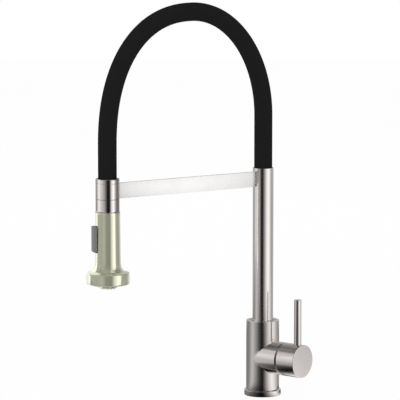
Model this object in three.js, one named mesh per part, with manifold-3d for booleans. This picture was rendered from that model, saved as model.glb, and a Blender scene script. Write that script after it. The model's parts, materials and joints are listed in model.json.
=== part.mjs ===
// A pull-down kitchen faucet: a deck-mounted body with a side valve, a column, a silicone hose arch,
// and a spray head that docks in a collar at the end of a flat arm.
// Millimetres, +Z up. The origin is the centre of the base on the deck, and the spout reaches along -Y.

import * as THREE from "three";
import { mergeVertices } from "three/addons/utils/BufferGeometryUtils.js";
import Module from "manifold-3d";

// ---- Clearances ----
const seatGap = 0.3; // between a piece and the face that it rests on
const fitGap = 0.3; // radial, round a piece that turns or sits in a bore
const threadGap = 0.3; // radial, between an inner and an outer thread

// ---- Facets round a full turn ----
const wideFacets = 32;
const midFacets = 20;
const smallFacets = 12;

// ---- Base and deck fixing ----
const ringRadius = 24.8;
const ringHeight = 7.8;
const ringBevel = 0.8;
const ringFloor = 2; // thickness of the inner flange that the body stands on
const ringShankGap = 0.7;
const gasketInnerRadius = 19.5;
const gasketWidth = 2.5;
const gasketDepth = 1.4;
const gasketGap = 0.2;
const spigotRadius = 20; // foot of the body, inside the ring
const deckThickness = 30;
const shankRadius = 16.5;
const shankWall = 1.5;
const shankBelowDeck = 62;
const shankEngagement = 22;
const rubberWasherRadius = 27;
const rubberWasherThickness = 3;
const steelWasherRadius = 26;
const steelWasherThickness = 2;
const washerShankGap = 0.5;
const nutAcrossFlats = 46;
const nutHeight = 9;
const jackScrewRadius = 2;
const jackScrewLength = 16;
const jackScrewHeadRadius = 3;
const jackScrewHeadHeight = 3.5;

// ---- Body ----
const bodyRadius = 22.3; // the barrel, the side branch and the handle cap are all this size
const bodyTop = 102.4;
const bodyEdge = 0.5;
const bodyTopEdge = 0.3;
const branchHeight = 52.8;
const branchTurn = 16.4; // degrees from +X towards +Y
const branchLength = 38.7;

// ---- Supply tails ----
const tailRadius = 3.5;
const tailWall = 1.1;
const tailGap = 0.4;
const tailEngagement = 5.5;
const tailFlangeRadius = 5.6;
const tailFlangeHeight = 8;
const supplyTailBelowDeck = 90;
const outletTailBelowDeck = 80;

// ---- Valve cartridge, along the branch axis ----
const cartridgeFloor = 9;
const cartridgeRadius = 17.6;
const cartridgeGap = 0.4;
const cartridgeWall = 4;
const portSealStand = 0.9; // how far the seals hold the base off the floor of the bore
const portSealWidth = 1.1;
const portSealSink = 0.6;
const portStep = 0.4; // how much narrower the ports are than the waterways
const portReach = 2.8; // length of the slot that leads each port inwards
const basePlate = 2.1;
const fixedDiscRadius = 12.5;
const fixedDiscThickness = 2;
const slidingDiscRadius = 10;
const slidingDiscThickness = 1.6;
const mixingHollow = 1.3; // half width of the hollow in the sliding disc
const carrierThickness = 1.8;
const rotorLength = 11.5;
const rotorSlotHalfWidth = 4;
const rotorSlotHalfHeight = 8;
const housingFlange = 2.2;
const housingMouthRadius = 9.5;
const nutBoreRadius = 19.6; // thread in the mouth of the branch
const nutMouthRadius = 11.5;
const cartridgeNutThickness = 4.3;

// ---- Handle ----
const jointGap = 1; // between the branch and the cap
const pivotDepth = 17.5; // tilt axis, behind the rim of the cap
const sweepGap = 0.35; // between the branch mouth and the rim as it swings past
const domeGap = 1.4;
const domeWall = 1.2;
const domeMouthRadius = 13.4;
const capLength = 28.4;
const capWall = 1.8;
const capFace = 2.6;
const capEdge = 0.5;
const hubRadius = 10;
const hubLength = 15.6;
const stemRadius = 3.6;
const stemTipRadius = 2.4;
const stemTipCut = 18; // degrees, where the round tip is cut flat
const stemTipUndercut = 50; // degrees, where it meets the neck
const stemNeckRadius = 1.5;
const stemEngagement = 5.6;
const stemPinRadius = 1.25;
const stemPinGap = 0.15;
const stemPinLength = 24;
const grubRadius = 2;
const grubLength = 6;
const grubSetback = 3.5; // from the open end of the hub
const grubAccessRadius = 2.6;
const leverRadius = 5;
const leverTop = 83.1; // above the branch axis
const leverSetback = 8.7; // its axis, behind the face of the cap
const leverSeat = 17; // height of its shoulder above the branch axis
const leverStudRadius = 2.9;
const leverStudEnd = 2;
const leverEdge = 0.6;

// ---- Column ----
const columnRadius = 14;
const columnWall = 1.5;
const columnTop = 310;
const columnEdge = 0.4;
const swivelDepth = 24; // of the socket in the top of the body
const footFlange = 4;
const footSpigot = 15;
const bushWall = 2.4;
const frictionRingHeight = 2;
const glandHeight = 5.7;
const glandWall = 4;
const glandThreadGap = 0.3;
const hoseBushHeight = 8;
const sleeveEngagement = 21; // how deep the sleeve sits in the column

// ---- Hose, spring and sleeve ----
const hoseRadius = 6.2;
const hoseWall = 2;
const hosePassageGap = 0.8;
const springThickness = 1.9;
const springGap = 0.8; // between the inner hose and the spring
const sleeveGap = 0.4; // between the spring and the sleeve
const sleeveRadius = 12.2;
const archSteps = 12; // on each side of the crest
const reach = 248; // from the column axis to the spray axis
const crestReach = 115.5;
const archRise = 213.3; // of its crest, above the top of the column
const columnStraight = 70.5; // above the top of the column, where the arch leaves the vertical
const dockStraight = 44.3; // the same on the dock side
const dockCurve = 2.25; // exponent of the dock side, where 2 would be an ellipse
const hoseEndBelowDeck = 68;

// ---- Arm and dock ----
const armDrop = 25.1; // of its lower edge, below the top of the column
const armHeight = 20.5;
const armThickness = 3.5;
const tenonHeight = 13;
const tenonShoulder = 0.25; // on each side of the tenon
const tenonGap = 0.2;
const tenonDepth = 1.1;
const collarRadius = 15.5;
const collarRise = 0.65; // its lower edge, above the lower edge of the arm
const collarHeight = 20.6;
const collarEdge = 0.4;
const ferruleHeight = 5.7;
const ferruleBevel = 0.9;
const ferruleWall = 1.1;
const shelfHeight = 11.6; // top of the shelf, above the lower edge of the collar
const shelfThickness = 3;
const dockBoreRadius = 13.3;
const magnetHeight = 3.2;
const magnetBoreRadius = 8.2;
const leadLength = 23.7; // stretch of hose from the sleeve into the connector
const leadIntoSleeve = 4.3;

// ---- Connector ----
const connectorHeight = 16.2;
const connectorEdge = 0.4;
const plugHeight = 3.1;
const plugGap = 0.5; // radial, in the dock
const plugTaper = 1.2;
const strikeRingHeight = 1.7;
const crimpWall = 1.2;
const crimpLength = 12;
const neckRadius = 8.2;
const neckFlangeRadius = 10.5;
const neckFlangeHeight = 3;
const neckLength = 12;
const neckBoreRadius = 4.5;

// ---- Spray head ----
const shellTopRadius = 16.35;
const shellWaistRadius = 16.95;
const shellTopGap = 0.5;
const shellEdge = 0.4;
const shellLength = 79.2; // down to the top of the rim
const shellWall = 2.1;
const shellRoof = 3.5;
const flareReach = 8.5; // how far the flare runs out
const flareDrop = 13.6; // and down, on to the top of the rim
const flareSteps = 4;
const rimRadius = 28.4;
const rimHeight = 15.4;
const rimCorner = 2;
const rimCornerSteps = 2;
const rimWall = 2.6;
const inletSealHeight = 1.5;
const coreRadius = 13;
const coreFlangeHeight = 3.1;
const coreWaistRadius = 9.5;
const coreWaistLength = 13.8;
const coreBoreRadius = 4.2;
const spreaderHeight = 3;
const facePlateRecess = 0.6;
const facePlateThickness = 2.5;
const nozzleRadius = 13;
const nozzleDrop = 5.5; // below the rim
const nozzleRound = 3.5;
const nozzleWall = 1.8;
const nozzleFlangeWidth = 2.3;
const nozzleFlangeHeight = 2;
const nozzleCount = 10;
const nozzleCircle = 8.4;
const nubRadius = 0.9;
const nubProud = 0.7;
const matThickness = 1.5;
const aeratorRadius = 4.4;
const aeratorHeight = 8;
const aeratorRecess = 0.8;

// ---- Mode rocker ----
const rockerLength = 33.6;
const rockerWidth = 16;
const rockerCorner = 3;
const rockerFace = 20.1; // from the spray axis to the flat face
const rockerBack = 15.5;
const rockerSideGap = 0.4;
const rockerEndGap = 1.1;
const headTurn = -20; // degrees, from -Y about the spray axis, as the docked head is turned
const windowDrop = 0.6; // from the flange of the core to the window in the shell
const rockerPivot = 10.5; // from the spray axis
const rockerPinRadius = 1;
const rockerPinGap = 0.15;
const rockerPinLength = 12.4;
const lugWidth = 7.4;
const lugHeight = 10;
const lugBack = 8.5;
const pocketGap = 0.5;
const pocketSwing = 2;
const fingerWidth = 2.4;
const fingerHeight = 2.6;
const fingerTip = 2.6; // from the spray axis
const spoolGap = 0.4;
const spoolWaistRadius = 1.7;
const spoolWaistGap = 0.35;
const spoolHalfLength = 17;

// ---- Finishes ----
const finishes = {
  nickel: { color: 0xb9b4af, roughness: 0.32, metalness: 1 },
  champagne: { color: 0xa8ab96, roughness: 0.14, metalness: 1 },
  steel: { color: 0xc4c6c8, roughness: 0.3, metalness: 1 },
  brass: { color: 0xb59a57, roughness: 0.38, metalness: 1 },
  magnet: { color: 0x4a4b4d, roughness: 0.5, metalness: 0.6 },
  silicone: { color: 0x1e1e1e, roughness: 0.75, metalness: 0 },
  rubber: { color: 0x262626, roughness: 0.85, metalness: 0 },
  greyPlastic: { color: 0x80817d, roughness: 0.55, metalness: 0 },
  whitePlastic: { color: 0xdedcd4, roughness: 0.5, metalness: 0 },
  ceramic: { color: 0xf0eee8, roughness: 0.2, metalness: 0 },
  braid: { color: 0x9a9c9e, roughness: 0.5, metalness: 0.5 },
};

const wasm = await Module();
wasm.setup();

const crestHeight = columnTop + archRise;
const columnSpringHeight = columnTop + columnStraight;
const dockSpringHeight = columnTop + dockStraight;

// ---- Shapes ----

// A geometry as a solid that can be joined and cut.
function solid(geometry) {
  const bare = geometry.index ? geometry.toNonIndexed() : geometry.clone();
  bare.deleteAttribute("normal");
  bare.deleteAttribute("uv");
  const merged = mergeVertices(bare, 1e-4);
  return new wasm.Manifold(
    new wasm.Mesh({
      numProp: 3,
      vertProperties: merged.attributes.position.array,
      triVerts: new Uint32Array(merged.index.array),
    }),
  );
}

// The geometry of a solid.
function shapeOf(body) {
  const mesh = body.getMesh();
  const geometry = new THREE.BufferGeometry();
  geometry.setAttribute("position", new THREE.BufferAttribute(mesh.vertProperties, 3));
  geometry.setIndex(new THREE.BufferAttribute(mesh.triVerts, 1));
  return geometry;
}

// A first geometry with others cut out of it.
function cut(geometry, ...tools) {
  const left = tools.reduce((body, tool) => body.subtract(solid(tool)), solid(geometry));
  return shapeOf(left);
}

// Several geometries joined into one body.
function join(geometry, ...others) {
  const whole = others.reduce((body, other) => body.add(solid(other)), solid(geometry));
  return shapeOf(whole);
}

// A profile of [radius, height] points turned about Z. A profile that leaves the axis is closed on itself.
function turned(profile, facets) {
  const points = profile.map(([radius, height]) => new THREE.Vector2(radius, height));
  if (profile[0][0] > 0) points.push(points[0].clone());
  return new THREE.LatheGeometry(points, facets).rotateX(Math.PI / 2);
}

// A round bar about Z.
function bar(radius, bottom, top, facets = smallFacets) {
  return turned([[0, bottom], [radius, bottom], [radius, top], [0, top]], facets);
}

// A plain ring or tube about Z.
function tube(inner, outer, bottom, top, facets = midFacets) {
  return turned([[inner, bottom], [outer, bottom], [outer, top], [inner, top]], facets);
}

// A box between two corners.
function block(low, high) {
  const size = high.map((value, axis) => value - low[axis]);
  const centre = high.map((value, axis) => (value + low[axis]) / 2);
  return new THREE.BoxGeometry(...size).translate(...centre);
}

// Turns a shape made about Z so that its axis runs along +X.
function alongX(geometry) {
  return geometry.rotateY(Math.PI / 2);
}

// An outline with rounded corners, centred on the origin.
function roundedRectangle(width, height, corner) {
  const [x, y] = [width / 2 - corner, height / 2 - corner];
  const outline = new THREE.Shape();
  outline.absarc(x, y, corner, 0, Math.PI / 2);
  outline.absarc(-x, y, corner, Math.PI / 2, Math.PI);
  outline.absarc(-x, -y, corner, Math.PI, Math.PI * 1.5);
  outline.absarc(x, -y, corner, Math.PI * 1.5, Math.PI * 2);
  outline.closePath();
  return outline;
}

// Turns what is built facing -Y to where the rocker is.
function atRocker(shape) {
  return shape.rotateZ(THREE.MathUtils.degToRad(headTurn));
}

// An upright plate between two distances from the spray axis, facing out at the rocker.
function frontPlate(outline, from, to) {
  const options = { depth: to - from, bevelEnabled: false, curveSegments: 3 };
  const plate = new THREE.ExtrudeGeometry(outline, options);
  return atRocker(plate.rotateX(Math.PI / 2).translate(0, -from, rockerHeight));
}

// A slot along Y, cut through a plate that lies across Z.
function slotAlongY(halfWidth, fromY, toY, bottom, top) {
  const slot = new THREE.Shape();
  slot.absarc(0, toY, halfWidth, 0, Math.PI);
  slot.absarc(0, fromY, halfWidth, Math.PI, Math.PI * 2);
  slot.closePath();
  const options = { depth: top - bottom, bevelEnabled: false, curveSegments: 4 };
  return new THREE.ExtrudeGeometry(slot, options).translate(0, 0, bottom);
}

// The line of the hose: up the column, over the crest, and down into the dock.
class ArchLine extends THREE.Curve {
  constructor(columnEnd, dockEnd) {
    super();
    this.columnEnd = columnEnd;
    this.dockEnd = dockEnd;
    this.steps = 2 * archSteps + 2;
  }

  // Steps run one to each straight end and archSteps to each side of the crest.
  getPoint(t, target = new THREE.Vector3()) {
    const step = t * this.steps;
    if (step <= 1) {
      return target.set(0, 0, THREE.MathUtils.lerp(this.columnEnd, columnSpringHeight, step));
    }
    if (step <= 1 + archSteps) {
      const angle = ((step - 1) / archSteps) * (Math.PI / 2);
      const rise = crestHeight - columnSpringHeight;
      return target.set(
        0,
        -crestReach * (1 - Math.cos(angle)),
        columnSpringHeight + rise * Math.sin(angle),
      );
    }
    if (step <= 1 + 2 * archSteps) {
      const angle = ((1 + 2 * archSteps - step) / archSteps) * (Math.PI / 2);
      const power = 2 / dockCurve;
      const rise = crestHeight - dockSpringHeight;
      return target.set(
        0,
        -crestReach - (reach - crestReach) * Math.max(Math.cos(angle), 0) ** power,
        dockSpringHeight + rise * Math.sin(angle) ** power,
      );
    }
    const down = step - 1 - 2 * archSteps;
    return target.set(0, -reach, THREE.MathUtils.lerp(dockSpringHeight, this.dockEnd, down));
  }

  getPointAt(u, target) {
    return this.getPoint(u, target);
  }

  getTangentAt(u, target) {
    return this.getTangent(u, target);
  }
}

// A tube that follows the arch between two heights.
function archTube(inner, outer, columnEnd, dockEnd, facets) {
  const section = new THREE.Shape().absarc(0, 0, outer, 0, Math.PI * 2);
  section.holes.push(new THREE.Path().absarc(0, 0, inner, 0, Math.PI * 2, true));
  const line = new ArchLine(columnEnd, dockEnd);
  return new THREE.ExtrudeGeometry(section, {
    extrudePath: line,
    steps: line.steps,
    curveSegments: facets / 2,
  });
}

// Points of a quarter ellipse about a centre, from one angle to another in degrees.
function arc(centre, radii, from, to, steps) {
  return Array.from({ length: steps + 1 }, (_, i) => {
    const angle = THREE.MathUtils.degToRad(from + ((to - from) * i) / steps);
    return [centre[0] + radii[0] * Math.cos(angle), centre[1] + radii[1] * Math.sin(angle)];
  });
}

// ---- The scene graph ----

const faucet = new THREE.Group();
const valve = new THREE.Group(); // lies along the branch, with the branch axis as its X
valve.position.z = branchHeight;
valve.rotation.z = THREE.MathUtils.degToRad(branchTurn);
const plumbing = new THREE.Group(); // upright, but turned with the branch
plumbing.rotation.z = valve.rotation.z;
const dock = new THREE.Group(); // round the spray axis
dock.position.y = -reach;
faucet.add(valve, plumbing, dock);

// Adds one named piece to a group.
function piece(group, name, finish, geometry) {
  geometry.computeVertexNormals();
  const mesh = new THREE.Mesh(geometry, new THREE.MeshStandardMaterial(finishes[finish]));
  mesh.name = name;
  group.add(mesh);
}

// ---- Base and deck fixing ----

const bodyFoot = ringFloor + seatGap;
const bodyShoulder = ringHeight + seatGap;
const socketTop = bodyFoot + shankEngagement;
const gasketOuterRadius = gasketInnerRadius + gasketWidth;
const shankBoreRadius = shankRadius - shankWall;

function makeBaseRing() {
  const spigotBore = spigotRadius + fitGap;
  const profile = [
    [shankRadius + ringShankGap, 0],
    [gasketInnerRadius, 0],
    [gasketInnerRadius, gasketDepth],
    [gasketOuterRadius, gasketDepth],
    [gasketOuterRadius, 0],
    [ringRadius, 0],
    [ringRadius, ringHeight - ringBevel],
    [ringRadius - ringBevel, ringHeight],
    [spigotBore, ringHeight],
    [spigotBore, ringFloor],
    [shankRadius + ringShankGap, ringFloor],
  ];
  piece(faucet, "base_ring", "nickel", turned(profile, wideFacets));
  piece(faucet, "deck_gasket", "rubber", tube(
    gasketInnerRadius + gasketGap, gasketOuterRadius - gasketGap, 0, gasketDepth - gasketGap, wideFacets));
}

function makeDeckFixing() {
  const bore = shankRadius + washerShankGap;
  const rubberBottom = -deckThickness - rubberWasherThickness;
  const steelTop = rubberBottom - seatGap;
  const steelBottom = steelTop - steelWasherThickness;
  const nutTop = steelBottom - seatGap;
  const nutBottom = nutTop - nutHeight;
  const threadBore = shankRadius + threadGap;
  const screwCircle = (threadBore + nutAcrossFlats / 2) / 2;
  const screwBore = jackScrewRadius + threadGap;

  piece(faucet, "mounting_shank", "brass",
    tube(shankBoreRadius, shankRadius, -shankBelowDeck, socketTop - seatGap));
  piece(faucet, "deck_washer", "rubber", tube(bore, rubberWasherRadius, rubberBottom, -deckThickness));
  piece(faucet, "clamp_washer", "steel", tube(bore, steelWasherRadius, steelBottom, steelTop));

  const corner = nutAcrossFlats / 2 / Math.cos(Math.PI / 6);
  const hexagon = turned([[0, nutBottom], [corner, nutBottom], [corner, nutTop], [0, nutTop]], 6);
  const screwHoles = [-1, 1].map((side) =>
    bar(screwBore, nutBottom - 1, nutTop + 1).translate(side * screwCircle, 0, 0));
  const shankHole = bar(threadBore, nutBottom - 1, nutTop + 1, midFacets);
  piece(faucet, "mounting_nut", "brass", cut(hexagon, shankHole, ...screwHoles));

  const screwBottom = nutTop - jackScrewLength;
  const screw = [
    [0, screwBottom - jackScrewHeadHeight],
    [jackScrewHeadRadius, screwBottom - jackScrewHeadHeight],
    [jackScrewHeadRadius, screwBottom],
    [jackScrewRadius, screwBottom],
    [jackScrewRadius, nutTop],
    [0, nutTop],
  ];
  for (const [name, side] of [["jack_screw_left", -1], ["jack_screw_right", 1]]) {
    piece(faucet, name, "steel", turned(screw, smallFacets).translate(side * screwCircle, 0, 0));
  }
}

// ---- Body ----

const tailCircle = shankBoreRadius - tailGap - tailRadius;
const tailBore = tailRadius - tailWall;
const tailPlaces = {
  hot_inlet_tail: [0, tailCircle, supplyTailBelowDeck],
  cold_inlet_tail: [0, -tailCircle, supplyTailBelowDeck],
  outlet_tail: [tailCircle, 0, outletTailBelowDeck],
};
const cartridgeBore = cartridgeRadius + cartridgeGap;
const hosePassage = hoseRadius + hosePassageGap;
const swivelFloor = bodyTop - swivelDepth;
const bushBore = columnRadius + fitGap + bushWall + fitGap;
const glandRadius = columnRadius + fitGap + glandWall;
const glandBottom = bodyTop - glandHeight;

// Stations along the branch axis.
const baseStart = cartridgeFloor + portSealStand;
const fixedDiscStart = baseStart + basePlate + seatGap;
const slidingDiscStart = fixedDiscStart + fixedDiscThickness + seatGap;
const carrierStart = slidingDiscStart + slidingDiscThickness + seatGap;
const rotorStart = carrierStart + carrierThickness + seatGap;
const housingFlangeStart = rotorStart + rotorLength + seatGap;
const housingEnd = housingFlangeStart + housingFlange;
const cartridgeNutStart = housingEnd + seatGap;
const domeStart = cartridgeNutStart + cartridgeNutThickness + seatGap;
const capRim = branchLength + jointGap;
const pivot = capRim - pivotDepth;
const capBore = bodyRadius - capWall;
const rimSweep = Math.hypot(pivotDepth, capBore);

function makeBody() {
  const barrel = turned([
    [0, bodyFoot],
    [spigotRadius, bodyFoot],
    [spigotRadius, bodyShoulder],
    [bodyRadius - bodyEdge, bodyShoulder],
    [bodyRadius, bodyShoulder + bodyEdge],
    [bodyRadius, bodyTop - bodyTopEdge],
    [bodyRadius - bodyTopEdge, bodyTop],
    [0, bodyTop],
  ], wideFacets);

  // The mouth is bevelled so that the rim of the cap swings past it.
  const sweep = rimSweep - sweepGap;
  const mouth = branchLength - pivot;
  const branch = alongX(turned([
    [0, 0],
    [bodyRadius, 0],
    [bodyRadius, pivot + Math.sqrt(sweep ** 2 - bodyRadius ** 2)],
    [Math.sqrt(sweep ** 2 - mouth ** 2), branchLength],
    [0, branchLength],
  ], wideFacets));
  const valveBore = alongX(turned([
    [0, cartridgeFloor],
    [cartridgeBore, cartridgeFloor],
    [cartridgeBore, housingEnd - seatGap],
    [nutBoreRadius, housingEnd - seatGap],
    [nutBoreRadius, branchLength + 1],
    [0, branchLength + 1],
  ], wideFacets));
  const place = (geometry) => geometry.rotateZ(valve.rotation.z).translate(0, 0, branchHeight);

  const swivelBore = turned([
    [0, swivelFloor],
    [bushBore, swivelFloor],
    [bushBore, glandBottom],
    [glandRadius + glandThreadGap, glandBottom],
    [glandRadius + glandThreadGap, bodyTop + 1],
    [0, bodyTop + 1],
  ], wideFacets);
  const shankBore = bar(shankRadius + threadGap, bodyFoot - 1, socketTop, wideFacets);
  const passage = bar(hosePassage, bodyFoot - 1, swivelFloor + 1, smallFacets);

  const waterways = Object.values(tailPlaces).flatMap(([x, y]) => {
    const supply = x === 0;
    const top = supply ? branchHeight + tailBore : branchHeight - cartridgeRadius;
    const socket = bar(tailRadius + fitGap, socketTop - 1, socketTop + tailEngagement).translate(x, y, 0);
    const riser = bar(tailBore, socketTop, top).translate(x, y, 0);
    const feed = alongX(bar(tailBore, 0, cartridgeFloor + 1)).translate(0, y, branchHeight);
    return (supply ? [socket, riser, feed] : [socket, riser]).map((g) => g.rotateZ(plumbing.rotation.z));
  });
  const outside = join(barrel, place(branch));
  piece(faucet, "faucet_body", "nickel",
    cut(outside, place(valveBore), swivelBore, shankBore, passage, ...waterways));
}

function makeTails() {
  for (const [name, [x, y, length]] of Object.entries(tailPlaces)) {
    const flange = tailFlangeHeight - length;
    const profile = [
      [tailBore, -length],
      [tailFlangeRadius, -length],
      [tailFlangeRadius, flange],
      [tailRadius, flange],
      [tailRadius, socketTop + tailEngagement - seatGap],
      [tailBore, socketTop + tailEngagement - seatGap],
    ];
    piece(plumbing, name, "steel", turned(profile, smallFacets).translate(x, y, 0));
  }
}

// ---- Valve cartridge ----

const portSlotFrom = tailCircle - portReach;
const rotorRadius = cartridgeRadius - cartridgeWall - fitGap;
const carrierMiddle = carrierStart + carrierThickness / 2;
const stemArm = pivot - carrierMiddle;

// Slots across a plate of the valve, from the supply ports inwards, one on each side.
function portSlots(halfWidth, bottom, top) {
  return [
    slotAlongY(halfWidth, portSlotFrom, tailCircle, bottom, top),
    slotAlongY(halfWidth, -tailCircle, -portSlotFrom, bottom, top),
  ];
}

function makeCartridge() {
  const baseEnd = baseStart + basePlate;
  const portHalf = tailBore - portStep;
  const sealOuter = portHalf + portSealWidth;
  // The outlet leaves through a notch in the lower edge of the base.
  const outletNotch = block(
    [stemRadius, -tailBore, baseStart - 1], [cartridgeRadius + 1, tailBore, baseEnd + 1]);
  const sealSeats = portSlots(sealOuter + fitGap, baseStart - 1, baseStart + portSealSink);
  const basePorts = portSlots(portHalf, baseStart - 1, baseEnd + 1);
  const plate = bar(cartridgeRadius, baseStart, baseEnd, wideFacets);
  piece(valve, "cartridge_base", "whitePlastic",
    alongX(cut(plate, outletNotch, ...sealSeats, ...basePorts)));

  const sealStart = cartridgeFloor + seatGap / 2;
  const sealEnd = baseStart + portSealSink - seatGap / 2;
  const sealHoles = portSlots(portHalf, sealStart - 1, sealEnd + 1);
  const seals = portSlots(sealOuter, sealStart, sealEnd);
  for (const [index, name] of ["hot_port_seal", "cold_port_seal"].entries()) {
    piece(valve, name, "rubber", alongX(cut(seals[index], sealHoles[index])));
  }

  const fixedEnd = fixedDiscStart + fixedDiscThickness;
  const discPorts = [-1, 1].map((side) =>
    bar(portHalf, fixedDiscStart - 1, fixedEnd + 1).translate(0, side * portSlotFrom, 0));
  const discOutlet = bar(portHalf, fixedDiscStart - 1, fixedEnd + 1).translate(stemRadius + tailBore, 0, 0);
  const fixedDisc = cut(bar(fixedDiscRadius, fixedDiscStart, fixedEnd, midFacets), ...discPorts, discOutlet);
  piece(valve, "fixed_disc", "ceramic", alongX(fixedDisc));

  // The hollow under the sliding disc joins the ports to the outlet.
  const slidingEnd = slidingDiscStart + slidingDiscThickness;
  const hollow = block(
    [-mixingHollow, -portSlotFrom + portHalf, slidingDiscStart - 1],
    [stemRadius + tailBore, portSlotFrom - portHalf, slidingDiscStart + slidingDiscThickness / 2]);
  piece(valve, "sliding_disc", "ceramic",
    alongX(cut(bar(slidingDiscRadius, slidingDiscStart, slidingEnd, midFacets), hollow)));
  piece(valve, "disc_carrier", "whitePlastic", alongX(
    tube(stemTipRadius + fitGap, slidingDiscRadius, carrierStart, carrierStart + carrierThickness)));

  const housing = [
    [rotorRadius + fitGap, fixedDiscStart],
    [cartridgeRadius, fixedDiscStart],
    [cartridgeRadius, housingEnd],
    [housingMouthRadius, housingEnd],
    [housingMouthRadius, housingFlangeStart],
    [rotorRadius + fitGap, housingFlangeStart],
  ];
  piece(valve, "cartridge_housing", "whitePlastic", alongX(turned(housing, wideFacets)));

  const rotorSlot = block(
    [rotorStart - 1, -rotorSlotHalfWidth, -rotorSlotHalfHeight],
    [rotorStart + rotorLength + 1, rotorSlotHalfWidth, rotorSlotHalfHeight]);
  const pinBore = bar(stemPinRadius + stemPinGap, -rotorRadius - 1, rotorRadius + 1, smallFacets)
    .rotateX(Math.PI / 2).translate(pivot, 0, 0);
  const rotor = alongX(bar(rotorRadius, rotorStart, rotorStart + rotorLength, wideFacets));
  piece(valve, "cartridge_rotor", "greyPlastic", cut(rotor, rotorSlot, pinBore));
  piece(valve, "stem_pin", "steel",
    bar(stemPinRadius, -stemPinLength / 2, stemPinLength / 2).rotateX(Math.PI / 2).translate(pivot, 0, 0));

  piece(valve, "cartridge_nut", "brass", alongX(tube(
    nutMouthRadius, nutBoreRadius - threadGap, cartridgeNutStart,
    cartridgeNutStart + cartridgeNutThickness, wideFacets)));
}

// ---- Handle ----

function makeDome() {
  const outer = rimSweep - domeGap;
  const inner = outer - domeWall;
  const skirt = nutBoreRadius - threadGap;
  const angleAt = (radius, sphere) => THREE.MathUtils.radToDeg(Math.asin(radius / sphere));
  const steps = 3;
  const arcPoints = (sphere, fromRadius, toRadius) => {
    const [from, to] = [angleAt(fromRadius, sphere), angleAt(toRadius, sphere)];
    return arc([pivot, 0], [sphere, sphere], from, to, steps).map(([x, r]) => [r, x]);
  };
  const profile = [
    [skirt - domeWall, domeStart],
    [skirt, domeStart],
    ...arcPoints(outer, skirt, domeMouthRadius),
    ...arcPoints(inner, domeMouthRadius, skirt - domeWall),
  ];
  piece(valve, "dome_cover", "nickel", alongX(turned(profile, wideFacets)));
}

const capFaceInside = capRim + capLength - capFace;
const hubStart = capFaceInside - hubLength;
const leverStation = capRim + capLength - leverSetback;
const stemEnd = hubStart + stemEngagement;

function makeHandle() {
  const capEnd = capRim + capLength;
  const cap = alongX(turned([
    [capBore, capRim],
    [bodyRadius, capRim],
    [bodyRadius, capEnd - capEdge],
    [bodyRadius - capEdge, capEnd],
    [0, capEnd],
    [0, hubStart],
    [hubRadius, hubStart],
    [hubRadius, capFaceInside],
    [capBore, capFaceInside],
    [capBore, capRim],
  ], wideFacets));
  const grubStation = hubStart + grubSetback;
  const stemBore = alongX(bar(stemRadius + fitGap, hubStart - 1, stemEnd + seatGap));
  const studBore = bar(leverStudRadius + threadGap, leverStudEnd - seatGap, hubRadius + 1)
    .translate(leverStation, 0, 0);
  const leverHole = bar(leverRadius + fitGap, hubRadius + 1, bodyRadius + 1).translate(leverStation, 0, 0);
  const grubBore = bar(grubRadius + threadGap, -hubRadius - 1, -stemRadius).translate(grubStation, 0, 0);
  const grubAccess = bar(grubAccessRadius, -bodyRadius - 1, -hubRadius - 1).translate(grubStation, 0, 0);
  piece(valve, "handle_cap", "nickel", cut(cap, stemBore, studBore, leverHole, grubBore, grubAccess));

  piece(valve, "pin_lever", "nickel", turned([
    [0, leverStudEnd],
    [leverStudRadius, leverStudEnd],
    [leverStudRadius, leverSeat],
    [leverRadius, leverSeat],
    [leverRadius, leverTop - leverEdge],
    [leverRadius - leverEdge, leverTop],
    [0, leverTop],
  ], midFacets).translate(leverStation, 0, 0));

  const grubTop = -stemRadius - seatGap;
  piece(valve, "handle_grub_screw", "steel",
    bar(grubRadius, grubTop - grubLength, grubTop).translate(grubStation, 0, 0));

  // The stem rocks on its pin, and its round tip drives the disc carrier.
  const tip = pivot - stemArm;
  const stem = alongX(turned([
    [0, tip - stemTipRadius * Math.sin(THREE.MathUtils.degToRad(stemTipCut))],
    ...arc([0, tip], [stemTipRadius, stemTipRadius], -stemTipCut, stemTipUndercut, 3),
    [stemNeckRadius, pivot - stemRadius],
    [stemRadius, pivot - stemRadius + 1],
    [stemRadius, stemEnd],
    [0, stemEnd],
  ], smallFacets));
  const pinBore = bar(stemPinRadius + stemPinGap, -stemRadius - 1, stemRadius + 1, smallFacets)
    .rotateX(Math.PI / 2).translate(pivot, 0, 0);
  piece(valve, "cartridge_stem", "steel", cut(stem, pinBore));
}

// ---- Column ----

const columnBore = columnRadius - columnWall;
const footBottom = swivelFloor + seatGap;
const columnBottom = footBottom + footFlange + seatGap;
const sleeveColumnEnd = columnTop - sleeveEngagement;

const armBottom = columnTop - armDrop;
const tenonMiddle = armBottom + armHeight / 2;

// The space that a tenon at either end of the arm goes into.
function tenonSlot(fromY, toY) {
  const half = armThickness / 2 - tenonShoulder + tenonGap;
  const tall = tenonHeight / 2 + tenonGap;
  return block([-half, fromY, tenonMiddle - tall], [half, toY, tenonMiddle + tall]);
}

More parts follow.
